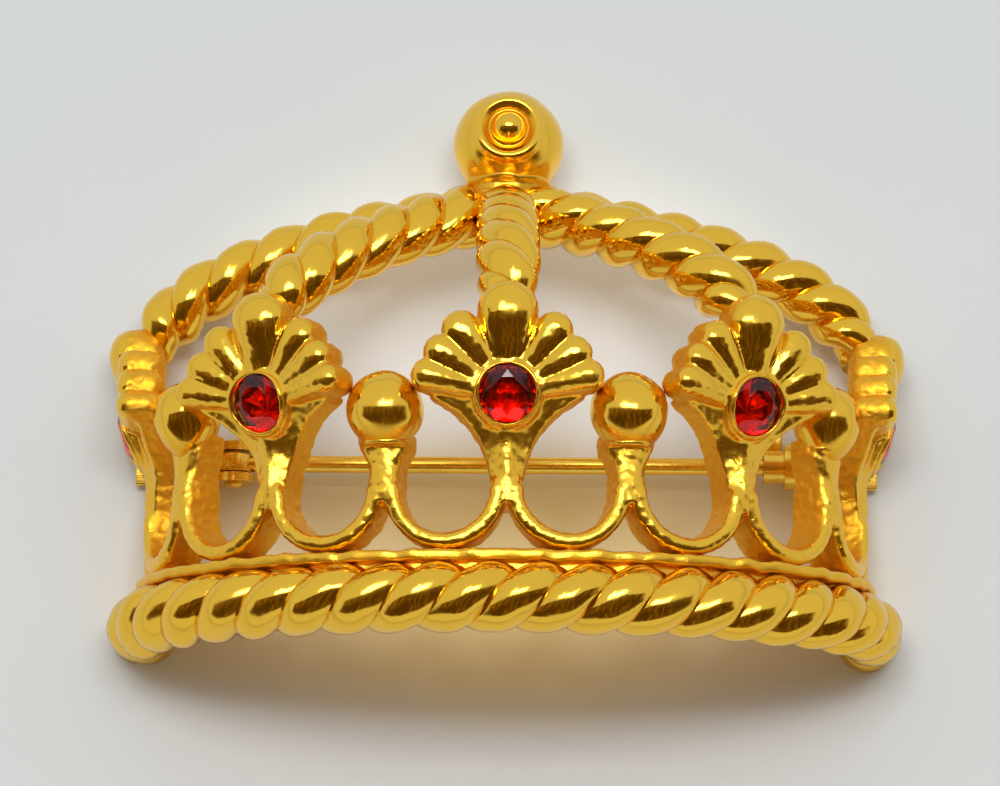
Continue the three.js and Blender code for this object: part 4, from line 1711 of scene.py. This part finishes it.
    def build_orb(self, shop: Workshop) -> None:
        """Makes the orb, with the ring and bead on its face.

        Args:
            shop: The workshop that places the pieces.
        """
        drawing = bmesh.new()
        radius = self.orb_radius
        ball(drawing, radius, (0, 0, 0), 96)
        face = math.sqrt(radius**2 - self.ring_radius**2)
        ring(drawing, self.ring_radius, self.ring_wire, Matrix.Translation((0, 0, face)))
        ball(drawing, self.bead_radius, (0, 0, radius - self.bead_sink), 32)
        surface = Surface(remeshed(drawing, self.orb_voxel, 2), "orb")
        points = surface.points
        away = np.hypot(points[:, 0], points[:, 1])
        inner, outer = self.bead_radius * 0.85, self.ring_radius - self.ring_wire * 0.9
        dip = np.sin(np.pi * np.clip((away - inner) / (outer - inner), 0, 1)) ** 2
        points[:, 2] -= self.dish_depth * dip * (points[:, 2] > 0)
        surface.points = surface.spread(points, 2)
        surface.roughen(0.05, 1.9, 11.0)
        low = 1 - smooth_step(surface.points[:, 1], -3.0, -0.8)
        inside = 1 - smooth_step(away, self.ring_radius * 0.8, self.ring_radius)
        inside *= surface.points[:, 2] > 0
        bead = 1 - smooth_step(away, self.bead_radius * 0.7, self.bead_radius)
        # Painted shade on the lower side of the orb and in the dish between the ring and the bead.
        surface.paint("painted_shade", np.clip(0.7 * low + 0.85 * inside * (1 - bead), 0, 1))
        surface.paint("raw", 0.3 * low)
        middle = Matrix.Translation((0, self.orb_height, radius))
        surface.turned(middle @ Matrix.Rotation(-math.radians(self.face_tilt), 4, "X"))
        shop.gold(surface, "orb")


# ---------------------------------------------------------------- pin, joint and catch


@dataclass
class Findings:
    """The bought-in pin, its riveted joint and its turning safety catch."""

    pin_height: float
    back_plane: float
    half_width: float
    pin_radius: float = 0.5
    point_radius: float = 0.12
    point_length: float = 2.5
    pivot_inset: float = 5.2
    tip_inset: float = 3.4
    catch_inset: float = 4.9
    plate_outset: float = 0.7
    plate_thickness: float = 0.65
    plate_clearance: float = 0.35
    eye_radius: float = 1.0
    eye_width: float = 1.1
    ear_radius: float = 1.25
    ear_thickness: float = 0.5
    rivet_radius: float = 0.35
    rivet_head: tuple[float, float] = (0.55, 0.24)
    clearance: float = 0.06
    sleeve_radius: float = 0.99
    sleeve_wall: float = 0.26
    sleeve_length: float = 2.6
    sleeve_slot: float = 1.2
    catch_radius: float = 1.35
    catch_wall: float = 0.3
    catch_length: float = 1.4
    catch_slot: float = 1.7
    tab_reach: float = 0.9
    tab_thickness: float = 0.5
    plate_round: float = 0.08
    eye_round: float = 0.1
    joint_inset: float = 0.03

    def __post_init__(self) -> None:
        """Works out where the pin lies."""
        self.axis = Vector((0, self.pin_height, self.back_plane + self.catch_radius + 0.05))
        self.pivot = Vector((self.pivot_inset - self.half_width, self.pin_height, self.axis.z))
        self.half_plate = self.eye_width / 2 + 2 * self.clearance + self.ear_thickness

    def across(self, x: float) -> Matrix:
        """Returns a place on the pin's line whose Z runs along +X."""
        return Matrix.Translation((x, self.axis.y, self.axis.z)) @ Matrix.Rotation(math.pi / 2, 4, "Y")

    def upright(self, y: float) -> Matrix:
        """Returns a place at the pivot whose Z runs along +Y."""
        return Matrix.Translation((self.pivot.x, y, self.pivot.z)) @ Matrix.Rotation(-math.pi / 2, 4, "X")

    def slab(
        self, drawing: bmesh.types.BMesh, low: Sequence[float], high: Sequence[float], edge: float
    ) -> None:
        """Adds a box with rounded edges.

        Args:
            drawing: The drawing to add to.
            low: Its lowest corner.
            high: Its highest corner.
            edge: How far its edges are rounded.
        """
        middle = (Vector(low) + Vector(high)) / 2
        size = Vector(high) - Vector(low)
        place = Matrix.Translation(middle) @ Matrix.Diagonal((*size, 1))
        corners = bmesh.ops.create_cube(drawing, size=1.0, matrix=place)["verts"]
        edges = list({item for corner in corners for item in corner.link_edges})
        bmesh.ops.bevel(
            drawing, geom=edges, offset=edge, segments=3, profile=0.5, affect="EDGES", material=-1
        )

    def deliver(self, shop: Workshop, drawing: bmesh.types.BMesh, name: str, body: Body) -> None:
        """Places one finding, smooth but for its edges.

        Args:
            shop: The workshop that places it.
            drawing: Its drawing.
            name: The name of the piece and of its node.
            body: The body that it rides on.
        """
        bmesh.ops.recalc_face_normals(drawing, faces=drawing.faces)
        surface = Surface(drawing, name)
        surface.mesh.shade_smooth()
        surface.mesh.set_sharp_from_angle(angle=math.radians(35))
        shop.deliver(surface, name, ["findings"], Slot.FINDINGS, body, [name])

    def tube(
        self, drawing: bmesh.types.BMesh, outer: float, wall: float, low: float, high: float, slot: float
    ) -> None:
        """Adds a tube round the pin with an open slot towards the back.

        Args:
            drawing: The drawing to add to.
            outer: Its outer radius.
            wall: Its wall thickness.
            low: Where it begins along X.
            high: Where it ends along X.
            slot: The width of its slot.
        """
        half_open = math.asin(slot / 2 / (outer - wall / 2))
        strip = bmesh.ops.create_grid(drawing, x_segments=1, y_segments=1, size=0.5)["verts"]
        for vertex in strip:
            along = low if vertex.co.x < 0 else high
            reach = outer if vertex.co.y > 0 else outer - wall
            vertex.co = (along, self.axis.y, self.axis.z - reach)
        centre = (0, self.axis.y, self.axis.z)
        bmesh.ops.rotate(drawing, cent=centre, matrix=Matrix.Rotation(half_open, 3, "X"), verts=strip)
        faces = list({face for vertex in strip for face in vertex.link_faces})
        edges = list({item for vertex in strip for item in vertex.link_edges})
        bmesh.ops.spin(
            drawing, geom=[*strip, *edges, *faces], cent=centre, axis=X_AXIS,
            angle=TURN - 2 * half_open, steps=40, use_merge=False,
        )

    def build_joint(self, shop: Workshop) -> None:
        """Makes the plate and the two ears that hold the rivet.

        Args:
            shop: The workshop that places the pieces.
        """
        drawing = bmesh.new()
        plate_end = -self.pivot.x + self.eye_radius + self.plate_clearance
        outer = self.half_width + self.plate_outset
        y = self.pin_height
        top = self.back_plane + self.plate_thickness
        plate_low = (-outer, y - self.half_plate, self.back_plane)
        self.slab(drawing, plate_low, (-plate_end, y + self.half_plate, top), self.plate_round)
        for side in (-1, 1):
            middle = y + side * (self.half_plate - self.ear_thickness / 2)
            low, high = middle - self.ear_thickness / 2, middle + self.ear_thickness / 2
            half_ear = self.ear_thickness / 2
            disc(drawing, self.ear_radius, -half_ear, half_ear, self.upright(middle), 48)
            web_top = self.axis.z + 0.6 * self.ear_radius
            low_corner = (-plate_end - 0.9, low + self.joint_inset, self.back_plane + self.joint_inset)
            high_corner = (self.pivot.x, high - self.joint_inset, web_top)
            self.slab(drawing, low_corner, high_corner, 0.07)
        self.deliver(shop, drawing, "pin_joint", Body.CASTING)

    def build_rivet(self, shop: Workshop) -> None:
        """Makes the hinge rivet with its two domed heads.

        Args:
            shop: The workshop that places the pieces.
        """
        drawing = bmesh.new()
        reach = self.half_plate + self.clearance
        disc(drawing, self.rivet_radius, -reach, reach, self.upright(self.pin_height), 32)
        for side in (-1, 1):
            wide, tall = self.rivet_head
            place = self.upright(self.pin_height + side * reach) @ Matrix.Diagonal((wide, wide, tall, 1))
            bmesh.ops.create_uvsphere(drawing, u_segments=28, v_segments=16, radius=1.0, matrix=place)
        self.deliver(shop, drawing, "hinge_rivet", Body.CASTING)

    def build_pin(self, shop: Workshop) -> None:
        """Makes the pin with its flat eye and its ground point.

        Args:
            shop: The workshop that places the pieces.
        """
        drawing = bmesh.new()
        start = self.pivot.x + 0.7
        shoulder = self.half_width - self.tip_inset - self.point_length
        shaft = disc(drawing, self.pin_radius, 0.0, shoulder - start, self.across(start), 32)
        faces = {face for vertex in shaft for face in vertex.link_faces}
        cap = max(faces, key=lambda face: face.calc_center_median().x)
        steps = 8
        for step in range(steps):
            grown = bmesh.ops.extrude_face_region(drawing, geom=[cap])["geom"]
            bmesh.ops.delete(drawing, geom=[cap], context="FACES_ONLY")
            cap = next(item for item in grown if isinstance(item, bmesh.types.BMFace))
            now, after = (self.taper(share / steps) for share in (step, step + 1))
            centre = Matrix.Translation(-cap.calc_center_median())
            bmesh.ops.scale(drawing, vec=(1, after / now, after / now), space=centre, verts=cap.verts)
            bmesh.ops.translate(drawing, vec=(self.point_length / steps, 0, 0), verts=cap.verts)
        half = self.eye_width / 2
        eye = disc(drawing, self.eye_radius, -half, half, self.upright(self.pin_height), 48)
        edges = list({edge for vertex in eye for edge in vertex.link_edges if not edge.is_boundary})
        rim = [edge for edge in edges if abs(edge.verts[0].co.y - edge.verts[1].co.y) < 1e-4]
        bmesh.ops.bevel(
            drawing, geom=rim, offset=self.eye_round, segments=3, profile=0.5, affect="EDGES", material=-1
        )
        self.deliver(shop, drawing, "pin_stem", Body.PIN)

    def taper(self, share: float) -> float:
        """Returns the radius of the point at a share of its length."""
        return self.point_radius + (self.pin_radius - self.point_radius) * (1 - share**1.6)

    def build_catch(self, shop: Workshop) -> None:
        """Makes the fixed hook with its plate, and the slotted sleeve that turns in it.

        Args:
            shop: The workshop that places the pieces.
        """
        catch_start = self.half_width - self.catch_inset
        catch_end = catch_start + self.catch_length
        y, z = self.axis.y, self.axis.z
        drawing = bmesh.new()
        self.tube(drawing, self.catch_radius, self.catch_wall, catch_start, catch_end, self.catch_slot)
        top = self.back_plane + self.plate_thickness
        plate_start = catch_end + self.plate_clearance
        outer = self.half_width + self.plate_outset
        plate_low = (plate_start, y - self.half_plate, self.back_plane)
        self.slab(drawing, plate_low, (outer, y + self.half_plate, top), self.plate_round)
        bridge_low = (catch_end - 0.2, y + self.sleeve_radius + 0.08, self.back_plane)
        bridge_high = (plate_start + 0.3, y + self.half_plate + 0.1, z + 0.5)
        self.slab(drawing, bridge_low, bridge_high, 0.06)
        self.deliver(shop, drawing, "catch_hook", Body.CASTING)
        drawing = bmesh.new()
        sleeve_start = catch_end - self.sleeve_length
        self.tube(drawing, self.sleeve_radius, self.sleeve_wall, sleeve_start, catch_end, self.sleeve_slot)
        half = self.tab_thickness / 2
        reach = y + self.sleeve_radius
        low = (sleeve_start, reach - self.sleeve_wall, z - half)
        self.slab(drawing, low, (catch_start - 0.1, reach + self.tab_reach, z + half), 0.1)
        self.deliver(shop, drawing, "catch_sleeve", Body.LOCK)

    def build(self, shop: Workshop) -> None:
        """Makes all five findings.

        Args:
            shop: The workshop that places the pieces.
        """
        self.build_joint(shop)
        self.build_rivet(shop)
        self.build_pin(shop)
        self.build_catch(shop)


# ---------------------------------------------------------------- studio


@dataclass(frozen=True)
class SoftLight:
    """One soft light that looks at the brooch."""

    name: str
    place: tuple[float, float, float]
    size: tuple[float, float]
    power: float
    colour: tuple[float, float, float]


@dataclass
class Studio:
    """The pale sheet, the soft lights and the camera above the brooch."""

    target: Vector
    lens: float = 151.2
    elevation: float = 79.0
    roll: float = 0.39
    distance: float = 0.24369
    aim_right: float = -0.00041
    aim_up: float = 0.00152
    sheet_half: float = 1.5
    lights: tuple[SoftLight, ...] = (
        SoftLight("key", (0.0, 0.085, 0.42), (0.30, 0.085), 0.75, (1.0, 0.99, 0.975)),
        SoftLight("lamp", (-0.06, 0.15, 0.40), (0.03, 0.03), 0.06, (1.0, 0.99, 0.97)),
    )
    wall_low: Colour = opaque(0.70, 0.70, 0.69)
    wall_high: Colour = opaque(0.70, 0.72, 0.74)
    shade_dark: Colour = opaque(0.075, 0.04, 0.006)
    shade_light: Colour = opaque(0.26, 0.15, 0.025)

    def build_camera(self) -> None:
        """Sets the camera, looking down past the rim towards the orb."""
        lift = math.radians(self.elevation)
        back = Vector((0, -math.cos(lift), math.sin(lift)))
        up = Vector((0, math.sin(lift), math.cos(lift)))
        data = bpy.data.cameras.new("camera")
        data.lens = self.lens
        data.sensor_width = 36.0
        data.clip_start = 0.01
        data.clip_end = 10.0
        camera = bpy.data.objects.new("camera", data)
        bpy.context.scene.collection.objects.link(camera)
        place = Matrix((X_AXIS, up, back)).transposed().to_4x4()
        turn = Matrix.Rotation(math.radians(self.roll), 4, "Z")
        eye = self.target + back * self.distance + X_AXIS * self.aim_right + up * self.aim_up
        camera.matrix_world = Matrix.Translation(eye) @ place @ turn
        bpy.context.scene.camera = camera

    def build_floor(self, paper: bpy.types.Material) -> None:
        """Lays the sheet under the brooch.

        Args:
            paper: Its material.
        """
        drawing = bmesh.new()
        bmesh.ops.create_grid(drawing, x_segments=2, y_segments=2, size=self.sheet_half)
        mesh = bpy.data.meshes.new("sheet")
        drawing.to_mesh(mesh)
        drawing.free()
        mesh.materials.append(paper)
        floor = bpy.data.objects.new("sheet", mesh)
        bpy.context.scene.collection.objects.link(floor)

    def hang(self, light: SoftLight) -> None:
        """Hangs one light and turns it to the brooch.

        Args:
            light: The light to hang.
        """
        data = bpy.data.lights.new(light.name, "AREA")
        data.shape = "RECTANGLE"
        data.size, data.size_y = light.size
        data.energy = light.power
        data.color = light.colour
        lamp = bpy.data.objects.new(light.name, data)
        bpy.context.scene.collection.objects.link(lamp)
        lamp.location = light.place
        lamp.rotation_mode = "QUATERNION"
        lamp.rotation_quaternion = (self.target - Vector(light.place)).to_track_quat("-Z", "Y")

    def build_world(self) -> None:
        """Surrounds the brooch with pale walls and a dark streaky patch above its rim side."""
        world = bpy.data.worlds.new("studio")
        bpy.context.scene.world = world
        graph = Graph(world)
        look = graph.node("ShaderNodeTexCoord", {}, {}, "Generated")
        parts = {
            axis: graph.node("ShaderNodeSeparateXYZ", {}, {"Vector": look}, axis) for axis in ("X", "Y", "Z")
        }
        above = (0.0 - parts["Y"]).ramp(-0.06, -0.01)
        below = (parts["Z"] + parts["Y"] * 0.5).ramp(-0.02, 0.03)
        beside = 1.0 - (parts["X"] * parts["X"]).ramp(0.80, 0.92)
        stretched = graph.node("ShaderNodeMapping", {}, {"Vector": look, "Scale": (9.0, 2.0, 2.0)})
        streaks = graph.node("ShaderNodeTexNoise", {}, {"Vector": stretched, "Scale": 1.0, "Detail": 3.0})
        shade = graph.mix(streaks.ramp(0.45, 0.7), self.shade_dark, self.shade_light)
        walls = graph.mix(parts["Z"].ramp(0.0, 0.9), self.wall_low, self.wall_high)
        colour = graph.mix(above * below * beside, walls, shade)
        background = graph.node("ShaderNodeBackground", {}, {"Color": colour, "Strength": 1.0})
        graph.node_output("ShaderNodeOutputWorld", background)

    def build(self, paper: bpy.types.Material) -> None:
        """Makes the whole studio.

        Args:
            paper: The material of the sheet.
        """
        self.build_camera()
        self.build_floor(paper)
        self.build_world()
        for light in self.lights:
            self.hang(light)
        bpy.context.scene.view_settings.view_transform = "Standard"


# ---------------------------------------------------------------- the brooch


def main() -> None:
    """Builds the studio and every piece of the brooch."""
    logging.basicConfig(level=logging.INFO, format="%(message)s")
    wall = Wall()
    rim = Rim(wall, Rope(radius=2.0))
    gallery = Gallery(wall, rim.ledge_top)
    fleuron = Fleuron(gallery)
    low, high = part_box("stone_centre")
    shift = Vector((0, (low.y + high.y) / 2 - fleuron.stone_height * MM, 0))
    kinds = {
        "gold": GoldFinish(), "findings": WireFinish(), "glass": GlassFinish(), "foil": FoilFinish(),
        "paper": PaperFinish(),
    }
    shop = Workshop(shift, {word: kind.make() for word, kind in kinds.items()})
    studio = Studio(target=Vector((0, 0.012, 0.007)) + shift)
    studio.build(shop.finishes["paper"])
    log.info("studio: sheet, world, two lights and camera")
    rim.build_rope(shop)
    rim.build_ledge(shop)
    gallery.build_loops(shop)
    gallery.build_balls(shop)
    fleuron.build(shop)
    top = Top(wall, fleuron.stone_height + fleuron.top_reach, Rope(radius=1.85, lay=5.4))
    top.build_arches(shop)
    top.build_boss(shop)
    top.build_collar(shop)
    top.build_orb(shop)
    findings = Findings(gallery.fork + PIN_RISE, wall.back_plane, wall.half_width)
    findings.build(shop)


if __name__ == "__main__":
    main()
